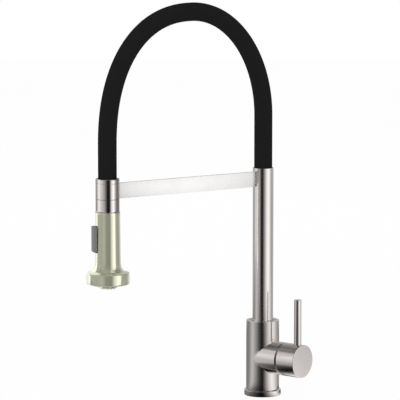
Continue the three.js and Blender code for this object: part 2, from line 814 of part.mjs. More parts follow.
function makeColumn() {
  const frictionBottom = columnBottom;
  const bushBottom = frictionBottom + frictionRingHeight + seatGap;
  const bushInner = columnRadius + fitGap;
  piece(faucet, "swivel_foot", "brass", turned([
    [hosePassage, footBottom],
    [bushBore - fitGap, footBottom],
    [bushBore - fitGap, footBottom + footFlange],
    [columnBore - fitGap, footBottom + footFlange],
    [columnBore - fitGap, footBottom + footFlange + footSpigot],
    [hosePassage, footBottom + footFlange + footSpigot],
  ], midFacets));
  piece(faucet, "friction_ring", "rubber",
    tube(bushInner, bushBore - fitGap, frictionBottom, frictionBottom + frictionRingHeight, wideFacets));
  piece(faucet, "column_bush", "whitePlastic",
    tube(bushInner, bushBore - fitGap, bushBottom, glandBottom, wideFacets));
  piece(faucet, "gland_nut", "nickel", turned([
    [bushInner, glandBottom + seatGap],
    [glandRadius, glandBottom + seatGap],
    [glandRadius, bodyTop],
    [bushInner, bodyTop],
  ], wideFacets));

  const pipe = turned([
    [columnBore, columnBottom],
    [columnRadius, columnBottom],
    [columnRadius, columnTop - columnEdge],
    [columnRadius - columnEdge, columnTop],
    [columnBore, columnTop],
  ], wideFacets);
  piece(faucet, "column_tube", "nickel", cut(pipe, tenonSlot(-columnRadius - 1, 0)));
  const hoseBushTop = sleeveColumnEnd - seatGap;
  piece(faucet, "hose_bush", "whitePlastic",
    tube(hosePassage, columnBore - fitGap, hoseBushTop - hoseBushHeight, hoseBushTop));
}

// ---- Hose arch ----

const collarBottom = armBottom + collarRise;
const collarTop = collarBottom + collarHeight;
const shelfTop = collarBottom + shelfHeight;
const sleeveDockEnd = shelfTop + seatGap;
const leadTop = sleeveDockEnd + leadIntoSleeve;

function makeArch() {
  const springInner = hoseRadius + springGap;
  const springOuter = springInner + springThickness;
  piece(faucet, "silicone_hose", "silicone",
    archTube(springOuter + sleeveGap, sleeveRadius, sleeveColumnEnd, sleeveDockEnd, 16));
  piece(faucet, "arch_spring", "steel",
    archTube(springInner, springOuter, sleeveColumnEnd, sleeveDockEnd, 12));
  piece(faucet, "pull_hose", "braid",
    archTube(hoseRadius - hoseWall, hoseRadius, -hoseEndBelowDeck, leadTop + seatGap, 8));
}

// ---- Arm and dock ----

function makeArm() {
  const half = armThickness / 2;
  const tenonHalf = half - tenonShoulder;
  const armTop = armBottom + armHeight;
  const [low, high] = [tenonMiddle - tenonHeight / 2, tenonMiddle + tenonHeight / 2];
  const plate = block(
    [-half, -reach + collarRadius / 2, armBottom], [half, -columnRadius / 2, armTop]);
  const columnClear = bar(columnRadius + seatGap, armBottom - 1, armTop + 1, wideFacets);
  const collarClear = bar(collarRadius + seatGap, armBottom - 1, armTop + 1, wideFacets)
    .translate(0, -reach, 0);
  const tenon = block(
    [-tenonHalf, -reach + collarRadius - tenonDepth, low], [tenonHalf, -columnRadius + tenonDepth, high]);
  piece(faucet, "dock_arm", "nickel", join(cut(plate, columnClear, collarClear), tenon));
}

function makeDock() {
  const sleeveBore = sleeveRadius + fitGap;
  const ferruleSpigot = sleeveBore + ferruleWall;
  const shelfBottom = shelfTop - shelfThickness;
  const collar = turned([
    [dockBoreRadius, collarBottom],
    [collarRadius - collarEdge, collarBottom],
    [collarRadius, collarBottom + collarEdge],
    [collarRadius, collarTop],
    [ferruleSpigot + threadGap, collarTop],
    [ferruleSpigot + threadGap, shelfTop],
    [hosePassage, shelfTop],
    [hosePassage, shelfBottom],
    [dockBoreRadius, shelfBottom],
  ], wideFacets);
  piece(dock, "dock_collar", "nickel", cut(collar, tenonSlot(0, collarRadius + 1)));

  piece(dock, "collar_ferrule", "nickel", turned([
    [sleeveBore, shelfTop + seatGap],
    [ferruleSpigot, shelfTop + seatGap],
    [ferruleSpigot, collarTop + seatGap],
    [collarRadius, collarTop + seatGap],
    [collarRadius, collarTop + seatGap + ferruleHeight - ferruleBevel],
    [collarRadius - ferruleBevel, collarTop + seatGap + ferruleHeight],
    [sleeveBore, collarTop + seatGap + ferruleHeight],
  ], wideFacets));

  piece(dock, "dock_magnet", "magnet", tube(
    magnetBoreRadius, dockBoreRadius - fitGap, shelfBottom - seatGap - magnetHeight, shelfBottom - seatGap));
  piece(dock, "hose_lead", "braid",
    tube(hoseRadius - hoseWall, hoseRadius, leadTop - leadLength, leadTop, smallFacets));
}

// ---- Connector on the end of the hose ----

const connectorTop = collarBottom - seatGap;
const connectorBottom = connectorTop - connectorHeight;
const plugTop = connectorTop + plugHeight;
const neckBottom = connectorBottom - neckLength;
const crimpRadius = hoseRadius + fitGap + crimpWall;

function makeConnector() {
  const hoseBore = crimpRadius + fitGap;
  const boreFloor = leadTop - leadLength - seatGap;
  const plugRadius = dockBoreRadius - plugGap;
  piece(dock, "connector_ring", "nickel", turned([
    [neckBoreRadius, neckBottom],
    [neckFlangeRadius, neckBottom],
    [neckFlangeRadius, neckBottom + neckFlangeHeight],
    [neckRadius, neckBottom + neckFlangeHeight],
    [neckRadius, connectorBottom],
    [collarRadius - connectorEdge, connectorBottom],
    [collarRadius, connectorBottom + connectorEdge],
    [collarRadius, connectorTop],
    [plugRadius, connectorTop],
    [plugRadius - plugTaper, plugTop],
    [hoseBore, plugTop],
    [hoseBore, boreFloor],
    [neckBoreRadius, boreFloor],
  ], wideFacets));
  piece(dock, "strike_ring", "steel", tube(
    hoseBore, plugRadius - plugTaper, plugTop + seatGap, plugTop + seatGap + strikeRingHeight));
  piece(dock, "hose_crimp", "steel", tube(
    hoseRadius + fitGap, crimpRadius, boreFloor + seatGap, boreFloor + seatGap + crimpLength));
}

// ---- Spray head ----

const shellTop = connectorBottom - shellTopGap;
const rimTop = shellTop - shellLength;
const rimBottom = rimTop - rimHeight;
const waistHeight = rimTop + flareDrop;
const roofBottom = shellTop - shellRoof;
const shellBore = shellTopRadius - shellWall;
const neckFlangeTop = neckBottom + neckFlangeHeight;
const coreTop = neckBottom - seatGap - inletSealHeight - seatGap;
const coreFlangeBottom = coreTop - coreFlangeHeight;
const rockerHeight = coreFlangeBottom - windowDrop - rockerEndGap - rockerLength / 2;
const rimInner = rimRadius - rimWall;
const spreaderRadius = rimInner - fitGap;
const facePlateTop = rimBottom + facePlateRecess + facePlateThickness;
const nozzleFlangeTop = facePlateTop + seatGap + nozzleFlangeHeight;
const nozzleBottom = rimBottom - nozzleDrop;

// The slot in the shell that the rocker works in, and the rocker's own outline.
const rockerOutline = roundedRectangle(rockerWidth, rockerLength, rockerCorner);
const windowOutline = roundedRectangle(
  rockerWidth + 2 * rockerSideGap, rockerLength + 2 * rockerEndGap, rockerCorner + rockerSideGap);

function makeShell() {
  const flareCentre = [shellWaistRadius + flareReach, waistHeight];
  const rimTopInner = rimTop - rimCorner - rimWall;
  const outline = [
    [shellBore, roofBottom],
    [neckRadius + fitGap, roofBottom],
    [neckRadius + fitGap, shellTop],
    [shellTopRadius - shellEdge, shellTop],
    [shellTopRadius, shellTop - shellEdge],
    ...arc(flareCentre, [flareReach, flareDrop], 180, 270, flareSteps),
    ...arc([rimRadius - rimCorner, rimTop - rimCorner], [rimCorner, rimCorner], 90, 0, rimCornerSteps),
    ...arc([rimRadius - rimCorner, rimBottom + rimCorner], [rimCorner, rimCorner], 0, -90, rimCornerSteps),
    [rimInner, rimBottom],
    [rimInner, rimTopInner],
    [shellBore, waistHeight - shellWall],
  ];
  const shell = turned(outline.reverse(), wideFacets);
  piece(dock, "spray_shell", "champagne", cut(shell, frontPlate(windowOutline, shellBore / 2, rimRadius)));
}

// Lays a shape made about Z along the tilt axis of the rocker.
function atRockerPin(shape) {
  return atRocker(alongX(shape).translate(0, -rockerPivot, rockerHeight));
}

function makeCore() {
  const spreaderBottom = nozzleFlangeTop + seatGap;
  const spreaderTop = spreaderBottom + spreaderHeight;
  const waistTop = spreaderTop + coreWaistLength;
  const flangeRadius = shellBore - fitGap;
  const core = turned([
    [coreBoreRadius, spreaderBottom],
    [spreaderRadius, spreaderBottom],
    [spreaderRadius, spreaderTop],
    [coreWaistRadius, spreaderTop],
    [coreWaistRadius, waistTop],
    [coreRadius, waistTop],
    [coreRadius, coreFlangeBottom],
    [flangeRadius, coreFlangeBottom],
    [flangeRadius, coreTop],
    [coreBoreRadius, coreTop],
  ], wideFacets);
  const lugHalf = lugWidth / 2 + pocketGap;
  const pocketHalf = lugHeight / 2 + pocketSwing;
  const pocket = atRocker(block(
    [-lugHalf, -coreRadius - 1, rockerHeight - pocketHalf],
    [lugHalf, -lugBack + pocketSwing, rockerHeight + pocketHalf]));
  const fingerHalf = fingerWidth / 2 + pocketGap;
  const fingerPath = atRocker(block(
    [-fingerHalf, -coreRadius, rockerHeight - fingerHeight / 2 - pocketSwing],
    [fingerHalf, 0, rockerHeight + fingerHeight / 2 + pocketSwing]));
  const pinBoreHalf = rockerPinLength / 2 + seatGap;
  const pinBore = atRockerPin(bar(rockerPinRadius + rockerPinGap, -pinBoreHalf, pinBoreHalf));
  piece(dock, "waterway_core", "whitePlastic", cut(core, pocket, fingerPath, pinBore));

  piece(dock, "swivel_retainer", "brass", tube(
    neckRadius + fitGap, shellBore - threadGap, neckFlangeTop + seatGap, roofBottom - seatGap));
  piece(dock, "inlet_seal", "rubber", tube(
    neckBoreRadius, neckFlangeRadius, coreTop + seatGap, coreTop + seatGap + inletSealHeight));
}

function makeRocker() {
  const lug = atRocker(block(
    [-lugWidth / 2, -rockerBack - 1, rockerHeight - lugHeight / 2],
    [lugWidth / 2, -lugBack, rockerHeight + lugHeight / 2]));
  const finger = atRocker(block(
    [-fingerWidth / 2, -lugBack - 1, rockerHeight - fingerHeight / 2],
    [fingerWidth / 2, -fingerTip, rockerHeight + fingerHeight / 2]));
  const pinBoreHalf = lugWidth / 2 + 1;
  const pinBore = atRockerPin(bar(rockerPinRadius + rockerPinGap, -pinBoreHalf, pinBoreHalf));
  const plate = frontPlate(rockerOutline, rockerBack, rockerFace);
  piece(dock, "mode_rocker", "greyPlastic", cut(join(plate, lug, finger), pinBore));
  piece(dock, "rocker_pin", "steel", atRockerPin(
    bar(rockerPinRadius, -rockerPinLength / 2, rockerPinLength / 2)));

  const spoolRadius = coreBoreRadius - spoolGap;
  const waistHalf = fingerHeight / 2 + spoolWaistGap;
  piece(dock, "diverter_spool", "whitePlastic", turned([
    [0, rockerHeight - spoolHalfLength],
    [spoolRadius, rockerHeight - spoolHalfLength],
    [spoolRadius, rockerHeight - waistHalf],
    [spoolWaistRadius, rockerHeight - waistHalf],
    [spoolWaistRadius, rockerHeight + waistHalf],
    [spoolRadius, rockerHeight + waistHalf],
    [spoolRadius, rockerHeight + spoolHalfLength],
    [0, rockerHeight + spoolHalfLength],
  ], smallFacets));
}

// Places a small tool at each nozzle.
function atNozzles(make) {
  return Array.from({ length: nozzleCount }, (_, i) => {
    const angle = (i / nozzleCount) * Math.PI * 2;
    return make().translate(nozzleCircle * Math.cos(angle), nozzleCircle * Math.sin(angle), 0);
  });
}

function makeFace() {
  const flangeBottom = nozzleFlangeTop - nozzleFlangeHeight;
  const chamber = nozzleRadius - nozzleWall;
  const floor = nozzleBottom + nozzleWall;
  piece(dock, "face_plate", "champagne", tube(
    nozzleRadius + fitGap, spreaderRadius, facePlateTop - facePlateThickness, facePlateTop, wideFacets));

  const roundRadii = [nozzleRound, nozzleRound];
  const shell = turned([
    [aeratorRadius + fitGap, nozzleBottom],
    ...arc([nozzleRadius - nozzleRound, nozzleBottom + nozzleRound], roundRadii, -90, 0, 3),
    [nozzleRadius, flangeBottom],
    [nozzleRadius + nozzleFlangeWidth, flangeBottom],
    [nozzleRadius + nozzleFlangeWidth, nozzleFlangeTop],
    [chamber, nozzleFlangeTop],
    [chamber, floor],
    [aeratorRadius + fitGap, floor],
  ], midFacets);
  const holes = atNozzles(() => bar(nubRadius + fitGap, nozzleBottom - 1, floor + 1, 8));
  piece(dock, "nozzle_dome", "champagne", cut(shell, ...holes));

  const matBottom = floor + seatGap;
  const mat = tube(aeratorRadius + fitGap, chamber - fitGap, matBottom, matBottom + matThickness);
  const nubs = atNozzles(() => bar(nubRadius, nozzleBottom - nubProud, matBottom + matThickness / 2, 8));
  piece(dock, "nozzle_mat", "rubber", join(mat, ...nubs));

  piece(dock, "aerator", "greyPlastic", turned([
    [0, nozzleBottom + aeratorRecess],
    [aeratorRadius - 1, nozzleBottom + aeratorRecess],
    [aeratorRadius - 1, nozzleBottom],
    [aeratorRadius, nozzleBottom],
    [aeratorRadius, nozzleBottom + aeratorHeight],
    [0, nozzleBottom + aeratorHeight],
  ], smallFacets));
}

makeBaseRing();
makeDeckFixing();
makeBody();
makeTails();
makeCartridge();
makeDome();
makeHandle();
makeColumn();
makeArch();
makeArm();
makeDock();
makeConnector();
makeShell();
makeCore();
makeRocker();
makeFace();

export default faucet;
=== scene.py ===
"""The visible surfaces of a pull-down kitchen faucet with a docking arm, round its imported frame.

Lengths are in metres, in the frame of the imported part: Z is up, the column stands on the
origin, the docking arm runs along -Y and the side branch with the handle points towards +X.
"""
import functools
import json
import logging
import math
from dataclasses import dataclass
from enum import Enum
from typing import Callable, ClassVar, Iterable, Mapping, Optional, Sequence, Union

import bmesh
import bpy
from mathutils import Matrix, Vector


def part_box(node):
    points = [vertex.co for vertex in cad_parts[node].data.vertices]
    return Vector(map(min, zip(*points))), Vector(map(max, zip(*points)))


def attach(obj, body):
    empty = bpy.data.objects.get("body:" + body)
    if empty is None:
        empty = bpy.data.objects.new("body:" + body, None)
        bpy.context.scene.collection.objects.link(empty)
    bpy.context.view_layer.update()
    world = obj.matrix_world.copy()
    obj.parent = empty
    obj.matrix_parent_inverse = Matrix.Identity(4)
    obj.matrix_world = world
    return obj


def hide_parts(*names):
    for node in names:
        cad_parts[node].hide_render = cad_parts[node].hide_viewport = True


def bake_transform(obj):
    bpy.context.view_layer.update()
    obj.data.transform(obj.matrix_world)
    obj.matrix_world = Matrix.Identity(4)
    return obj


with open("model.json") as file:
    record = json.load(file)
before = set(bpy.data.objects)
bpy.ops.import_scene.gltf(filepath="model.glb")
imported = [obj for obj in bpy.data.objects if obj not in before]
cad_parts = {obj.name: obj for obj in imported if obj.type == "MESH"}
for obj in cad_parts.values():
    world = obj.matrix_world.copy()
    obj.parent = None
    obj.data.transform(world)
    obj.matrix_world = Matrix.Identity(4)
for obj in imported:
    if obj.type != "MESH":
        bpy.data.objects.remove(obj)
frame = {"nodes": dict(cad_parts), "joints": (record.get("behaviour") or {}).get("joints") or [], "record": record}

LOG = logging.getLogger("faucet")
MM = 0.001
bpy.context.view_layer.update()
ROUND_STEPS = 160
SMALL_STEPS = 64
BORE_STEPS = 32
PIN_STEPS = 24
SHARP_ANGLE = math.radians(32)
QUARTER_TURN = math.pi / 2
FULL_TURN_DEGREES = 360
WELD = 1e-7  # how close points are welded
NEARLY_HALF = 0.49  # the most of a side that one rounding may take
HOLD = 0.12 * MM  # how far from a rounding its holding point lies, at most
HOLD_SHARE = 0.35  # and as a share of the rounding
HOLD_ROOM = 2.2  # a side with a holding point is at least this many roundings long
FINE, SOFT, BROKEN = 0.1 * MM, 0.2 * MM, 0.3 * MM  # the roundings that most machined edges have
SEAT_GAP = 0.3 * MM  # between a piece and the one that it rests on
CUT_SPARE = 1 * MM  # how far a cutter stands out of what it cuts
SLOT_HALF, SLOT_TALL = 1.7 * MM, 6.7 * MM  # the slots that take the tenons of the arm
UNIT = (0.0, 1.0)
BULK = (0.3, 0.7)  # the range that most of a noise lies in
WHITE = (1.0, 1.0, 1.0, 1.0)

Point = tuple[float, float]
Corner = tuple[float, float, float]
Colour = tuple[float, float, float]
Sheet = tuple[list[Vector], list[tuple[int, ...]]]
Socket = bpy.types.NodeSocket


class Slot(Enum):
    """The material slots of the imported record."""

    NICKEL = "nickel"
    CHAMPAGNE = "champagne"
    STEEL = "steel"
    BRASS = "brass"
    MAGNET = "magnet"
    SILICONE = "silicone"
    RUBBER = "rubber"
    GREY_PLASTIC = "grey_plastic"
    WHITE_PLASTIC = "white_plastic"
    CERAMIC = "ceramic"
    BRAID = "braid"


class Body(Enum):
    """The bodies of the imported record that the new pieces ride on."""

    BASE = "base"
    SPOUT = "spout"
    HANDLE = "handle"
    HOSE_END = "hose_end"
    HEAD = "spray_head"
    ROCKER = "rocker"


class Grain(Enum):
    """Which way the fine lines of a finish run: round an axis, along the arm, or neither."""

    ROUND_COLUMN = "column"
    ROUND_BRANCH = "branch"
    ALONG_ARM = "arm"
    EVEN = "even"


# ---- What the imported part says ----


@dataclass(frozen=True)
class Extent:
    """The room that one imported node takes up."""

    low: Vector
    high: Vector

    @classmethod
    def of(cls, node: str) -> "Extent":
        """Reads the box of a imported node.

        Args:
            node: The node's name.

        Returns:
            Its extent.
        """
        return cls(*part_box(node))

    @property
    def radius(self) -> float:
        """Half the width across the arm, which is the radius of an upright round piece."""
        return (self.high.x - self.low.x) / 2

    @property
    def middle(self) -> Vector:
        """The middle of the box."""
        return (self.low + self.high) / 2


def joint(name: str) -> Mapping[str, object]:
    """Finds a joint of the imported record.

    Args:
        name: The joint's name.

    Returns:
        The joint's row.
    """
    return next(row for row in frame["joints"] if row["name"] == name)


BRANCH_AXIS = Vector(joint("temperature_turn")["axis"])
BRANCH_TURN = math.atan2(BRANCH_AXIS.y, BRANCH_AXIS.x)
BRANCH_HEIGHT = joint("temperature_turn")["pos_m"][2]
BRANCH_FRAME = Matrix.Translation((0, 0, BRANCH_HEIGHT)) @ Matrix.Rotation(BRANCH_TURN, 4, "Z")
# Stands a shape that was turned about Z along the branch instead.
ALONG_BRANCH = BRANCH_FRAME @ Matrix.Rotation(QUARTER_TURN, 4, "Y")
DOCK_AXIS = Extent.of("dock_collar").middle.xy
AT_DOCK = Matrix.Translation((DOCK_AXIS.x, DOCK_AXIS.y, 0))


# ---- Node trees ----


class Board:
    """Short ways to lay out and join the nodes of one tree."""

    def __init__(self, tree: bpy.types.NodeTree) -> None:
        """Keeps the tree that nodes are added to."""
        self.tree = tree

    def add(
        self, kind: str, inputs: Optional[Mapping[Union[str, int], object]] = None, **settings: object
    ) -> bpy.types.Node:
        """Adds a node.

        Args:
            kind: The node's type.
            inputs: A constant or a socket to link from, for each input by name or index.
            **settings: The node's own properties.

        Returns:
            The node.
        """
        node = self.tree.nodes.new(kind)
        for name, value in settings.items():
            setattr(node, name, value)
        for key, value in (inputs or {}).items():
            if isinstance(value, Socket):
                self.tree.links.new(value, node.inputs[key])
            else:
                node.inputs[key].default_value = value
        return node

    def math(self, operation: str, first: object, second: object = 0.0) -> Socket:
        """Adds a Math node and returns its result."""
        return self.add("ShaderNodeMath", {0: first, 1: second}, operation=operation).outputs[0]

    def noise(self, vector: Socket, scale: float, detail: float = 3.0) -> Socket:
        """Adds a Noise Texture node and returns its factor."""
        inputs = {"Vector": vector, "Scale": scale, "Detail": detail, "Roughness": 0.6}
        return self.add("ShaderNodeTexNoise", inputs).outputs["Fac"]

    def span(self, value: Socket, source: Point, target: Point, smooth: bool = False) -> Socket:
        """Maps one range of a value to another.

        Args:
            value: The value.
            source: The range that it is read from.
            target: The range that it is mapped to.
            smooth: Whether it eases in and out.

        Returns:
            The mapped value.
        """
        inputs = {0: value, 1: source[0], 2: source[1], 3: target[0], 4: target[1]}
        kind = "SMOOTHSTEP" if smooth else "LINEAR"
        return self.add("ShaderNodeMapRange", inputs, interpolation_type=kind).outputs[0]

    def blend(self, factor: object, first: object, second: object) -> Socket:
        """Mixes two colours by a factor."""
        inputs = {0: factor, 6: first, 7: second}
        return self.add("ShaderNodeMix", inputs, data_type="RGBA").outputs[2]

    def ramp(self, factor: Socket, stops: Mapping[float, float]) -> Socket:
        """Adds a grey colour ramp that runs round a full turn.

        Args:
            factor: The value that it reads.
            stops: The grey level at each bearing in degrees.

        Returns:
            The colour.
        """
        node = self.add("ShaderNodeValToRGB", {0: factor})
        elements = node.color_ramp.elements
        elements.remove(elements[1])
        for index, (bearing, level) in enumerate(sorted(stops.items())):
            where = 0.5 + bearing / FULL_TURN_DEGREES
            element = elements[0] if index == 0 else elements.new(where)
            element.position = where
            element.color = (level, level, level, 1)
        return node.outputs["Color"]


def new_material(name: str) -> tuple[bpy.types.Material, Board, Socket]:
    """Starts a node material.

    Args:
        name: The material's name.

    Returns:
        The material, a board on its cleared tree, and the input of its output node.
    """
    material = bpy.data.materials.new(name)
    material.use_nodes = True
    tree = material.node_tree
    tree.nodes.clear()
    output = tree.nodes.new("ShaderNodeOutputMaterial")
    return material, Board(tree), output.inputs["Surface"]


def rgba(colour: Colour, level: float = 1.0) -> tuple[float, float, float, float]:
    """A colour at a level, with full cover."""
    return (colour[0] * level, colour[1] * level, colour[2] * level, 1.0)


def line_coordinates(board: Board, grain: Grain, along: float, across: float) -> Socket:
    """Stretches the object's coordinates so that a noise read from them becomes fine lines.

    Args:
        board: The material's board.
        grain: Which way the lines run.
        along: How many features there are to a metre along a line.
        across: And across it.

    Returns:
        The stretched coordinates.
    """
    scales = {
        Grain.ROUND_COLUMN: (1 / along, 1 / along, 1 / across),
        Grain.ROUND_BRANCH: (1 / across, 1 / along, 1 / along),
        Grain.ALONG_ARM: (1 / across, 1 / along, 1 / across),
        Grain.EVEN: (1 / across, 1 / across, 1 / across),
    }
    turn = BRANCH_TURN if grain is Grain.ROUND_BRANCH else 0.0
    coordinates = board.add("ShaderNodeTexCoord").outputs["Object"]
    inputs = {"Vector": coordinates, "Rotation": (0.0, 0.0, turn), "Scale": scales[grain]}
    return board.add("ShaderNodeMapping", inputs, vector_type="TEXTURE").outputs[0]


# ---- Finishes ----


@dataclass(frozen=True)
class Metal:
    """A metal with fine lines, faint smudges and edges that are rubbed brighter."""

    name: str
    colour: Colour
    roughness: float
    metallic: float = 1.0
    grain: Grain = Grain.ROUND_COLUMN
    lines: float = 5200.0
    depth: float = 1.2e-6
    streaks: float = 0.05
    coat: float = 0.0
    worn_edges: bool = True
    line_length: float = 45.0
    smudges: float = 38.0
    pits: float = 2600.0
    coat_roughness: float = 0.04

    def material(self) -> bpy.types.Material:
        """Builds the metal's node material.

        Returns:
            The material.
        """
        material, board, surface = new_material(self.name)
        lined = line_coordinates(board, self.grain, self.line_length, self.lines)
        even = line_coordinates(board, Grain.EVEN, 1.0, 1.0)
        fine = board.noise(lined, 1.0, 4.0)
        smudge = board.noise(even, self.smudges, 4.0)
        pits = board.noise(even, self.pits, 2.0)
        tone = board.blend(
            board.span(fine, BULK, UNIT),
            rgba(self.colour, 1 - self.streaks), rgba(self.colour, 1 + self.streaks * 0.6))
        rough = board.math(
            "ADD", board.span(fine, BULK, (self.roughness * 0.9, self.roughness * 1.12)),
            board.span(smudge, (0.45, 0.75), (0.0, self.roughness * 0.22)))
        if self.worn_edges:
            point = board.add("ShaderNodeNewGeometry").outputs["Pointiness"]
            corner = board.span(point, (0.53, 0.62), (0.0, 0.6))
            edge = board.math("MULTIPLY", corner, board.span(smudge, (0.35, 0.6), (0.4, 1.0)))
            tone = board.blend(edge, tone, rgba(self.colour, 1.12))
            rough = board.math("MULTIPLY", rough, board.span(edge, UNIT, (1.0, 0.7)))
        height = board.math("ADD", fine, board.math("MULTIPLY", pits, 0.35))
        bump = board.add("ShaderNodeBump", {"Height": height, "Strength": 1.0, "Distance": self.depth})
        shader = board.add("ShaderNodeBsdfPrincipled", {
            "Base Color": tone, "Metallic": self.metallic, "Roughness": rough, "Coat Weight": self.coat,
            "Coat Roughness": self.coat_roughness, "Normal": bump.outputs[0]})
        board.tree.links.new(shader.outputs[0], surface)
        return material


@dataclass(frozen=True)
class Moulding:
    """A moulded plastic, rubber or silicone with a fine skin."""

    name: str
    colour: Colour
    roughness: float
    specular: float = 0.5
    skin: float = 2200.0
    depth: float = 6e-6
    mottle: float = 0.04
    clouds: float = 55.0

    def material(self) -> bpy.types.Material:
        """Builds the moulding's node material.

        Returns:
            The material.
        """
        material, board, surface = new_material(self.name)
        even = line_coordinates(board, Grain.EVEN, 1.0, 1.0)
        skin = board.noise(even, self.skin, 3.0)
        cloud = board.noise(even, self.clouds, 4.0)
        tone = board.blend(
            board.span(cloud, (0.35, 0.68), UNIT),
            rgba(self.colour, 1 - self.mottle), rgba(self.colour, 1 + self.mottle))
        rough = board.math(
            "ADD", board.span(skin, BULK, (-0.04, 0.04)),
            board.span(cloud, (0.35, 0.7), (self.roughness - 0.03, self.roughness + 0.04)))
        bump = board.add("ShaderNodeBump", {"Height": skin, "Strength": 1.0, "Distance": self.depth})
        shader = board.add("ShaderNodeBsdfPrincipled", {
            "Base Color": tone, "Roughness": rough, "Specular IOR Level": self.specular,
            "Normal": bump.outputs[0]})
        board.tree.links.new(shader.outputs[0], surface)
        return material


@dataclass(frozen=True)
class Braid:
    """A woven sleeve: two sets of strands that wind round the hose against each other, with painted shade between
    the strands and a painted highlight on their crowns.
    """

    name: str
    colour: Colour
    strands: float = 16.0
    pitch: float = 118.0
    depth: float = 2.5e-4
    # How dark the grooves between the strands are painted: painted shade of the weave.
    groove: float = 0.28
    fibres: float = 3000.0

    def material(self) -> bpy.types.Material:
        """Builds the braid's node material, which reads the hose's own UV map.

        Returns:
            The material.
        """
        material, board, surface = new_material(self.name)
        place = board.add("ShaderNodeUVMap", uv_map="UVMap").outputs[0]
        split = board.add("ShaderNodeSeparateXYZ", {0: place})
        around = board.math("MULTIPLY", split.outputs[0], self.strands)
        along = board.math("MULTIPLY", split.outputs[1], self.pitch)
        turn = 2 * math.pi
        right = board.math("SINE", board.math("MULTIPLY", board.math("ADD", around, along), turn))
        left = board.math("SINE", board.math("MULTIPLY", board.math("SUBTRACT", around, along), turn))
        weave = board.math("MAXIMUM", right, left)
        fibre = board.noise(line_coordinates(board, Grain.EVEN, 1.0, 1.0), self.fibres, 2.0)
        crown = board.span(weave, (-0.9, 0.7), UNIT, True)
        level = board.math("ADD", crown, board.math("MULTIPLY", fibre, 0.3))
        # Painted shade between the strands and a painted highlight on their crowns.
        tone = board.blend(level, rgba(self.colour, self.groove), rgba(self.colour, 1.1))
        bump = board.add("ShaderNodeBump", {"Height": level, "Strength": 0.8, "Distance": self.depth})
        shader = board.add("ShaderNodeBsdfPrincipled", {
            "Base Color": tone, "Metallic": 0.0, "Roughness": board.span(fibre, BULK, (0.42, 0.6)),
            "Normal": bump.outputs[0]})
        board.tree.links.new(shader.outputs[0], surface)
        return material


Finish = Union[Metal, Moulding, Braid]
NICKEL = (0.78, 0.735, 0.71)

BRUSHED_NICKEL = Metal("brushed_nickel", NICKEL, 0.125, depth=1.5e-7)
BRANCH_NICKEL = Metal("brushed_nickel_branch", NICKEL, 0.19, depth=2.5e-7, grain=Grain.ROUND_BRANCH)
# A lighter, half-matt copy of the nickel: painted light that makes the flat arm read evenly light.
LIT_ARM_NICKEL = Metal(
    "brushed_nickel_arm_painted_light", (0.9, 0.885, 0.87), 0.3, metallic=0.55, grain=Grain.ALONG_ARM, depth=1e-7,
    streaks=0.01)
DOCK_NICKEL = Metal("satin_nickel_dock", NICKEL, 0.09, depth=2e-7)
SHOULDER_NICKEL = Metal("turned_nickel_shoulder", NICKEL, 0.36, depth=6e-7)
# The dome is nickel; its near-black colour is painted shade that stands for the dark gap behind the cap.
SHADED_DOME_NICKEL = Metal("dome_nickel_painted_shade", (0.2, 0.195, 0.19), 0.42, grain=Grain.ROUND_BRANCH)
CHAMPAGNE = Metal(
    "champagne_nickel", (0.81, 0.82, 0.635), 0.04, metallic=0.7, depth=2.5e-7, streaks=0.02, coat=0.6)
PLAIN_STEEL = Metal("plain_steel", (0.55, 0.56, 0.57), 0.34, worn_edges=False)
SPRING_STEEL = Metal("spring_steel", (0.5, 0.5, 0.5), 0.3, grain=Grain.EVEN, worn_edges=False)
MACHINED_BRASS = Metal(
    "machined_brass", (0.6, 0.45, 0.19), 0.32, lines=2600.0, depth=3e-6, worn_edges=False)
PLATED_MAGNET = Metal("plated_magnet", (0.16, 0.16, 0.17), 0.42, grain=Grain.EVEN, worn_edges=False)
SILICONE = Moulding("matte_black_silicone", (0.0128, 0.0128, 0.0128), 0.86, specular=0.06, depth=4e-6)
BLACK_RUBBER = Moulding("black_rubber", (0.02, 0.02, 0.02), 0.8, specular=0.2)
NOZZLE_RUBBER = Moulding("nozzle_rubber", (0.06, 0.06, 0.055), 0.7, specular=0.2)
ROCKER_PLASTIC = Moulding("soft_grey_plastic", (0.216, 0.219, 0.205), 0.62, specular=0.2, skin=3200.0)
GREY_PLASTIC = Moulding("grey_plastic", (0.21, 0.22, 0.2), 0.5)
WHITE_PLASTIC = Moulding("white_acetal", (0.73, 0.71, 0.66), 0.45, depth=3e-6)
CERAMIC = Moulding("lapped_ceramic", (0.85, 0.83, 0.78), 0.18, depth=1e-6, mottle=0.02)
NYLON_BRAID = Braid("nylon_braid", (0.34, 0.35, 0.36))

SLOT_FINISHES = {
    Slot.NICKEL: BRUSHED_NICKEL,
    Slot.CHAMPAGNE: CHAMPAGNE,
    Slot.STEEL: PLAIN_STEEL,
    Slot.BRASS: MACHINED_BRASS,
    Slot.MAGNET: PLATED_MAGNET,
    Slot.SILICONE: SILICONE,
    Slot.RUBBER: BLACK_RUBBER,
    Slot.GREY_PLASTIC: GREY_PLASTIC,
    Slot.WHITE_PLASTIC: WHITE_PLASTIC,
    Slot.CERAMIC: CERAMIC,
    Slot.BRAID: GREY_PLASTIC,
}


@functools.cache
def material_of(finish: Finish) -> bpy.types.Material:
    """Builds a finish's material once and keeps it."""
    return finish.material()


# ---- Meshes ----


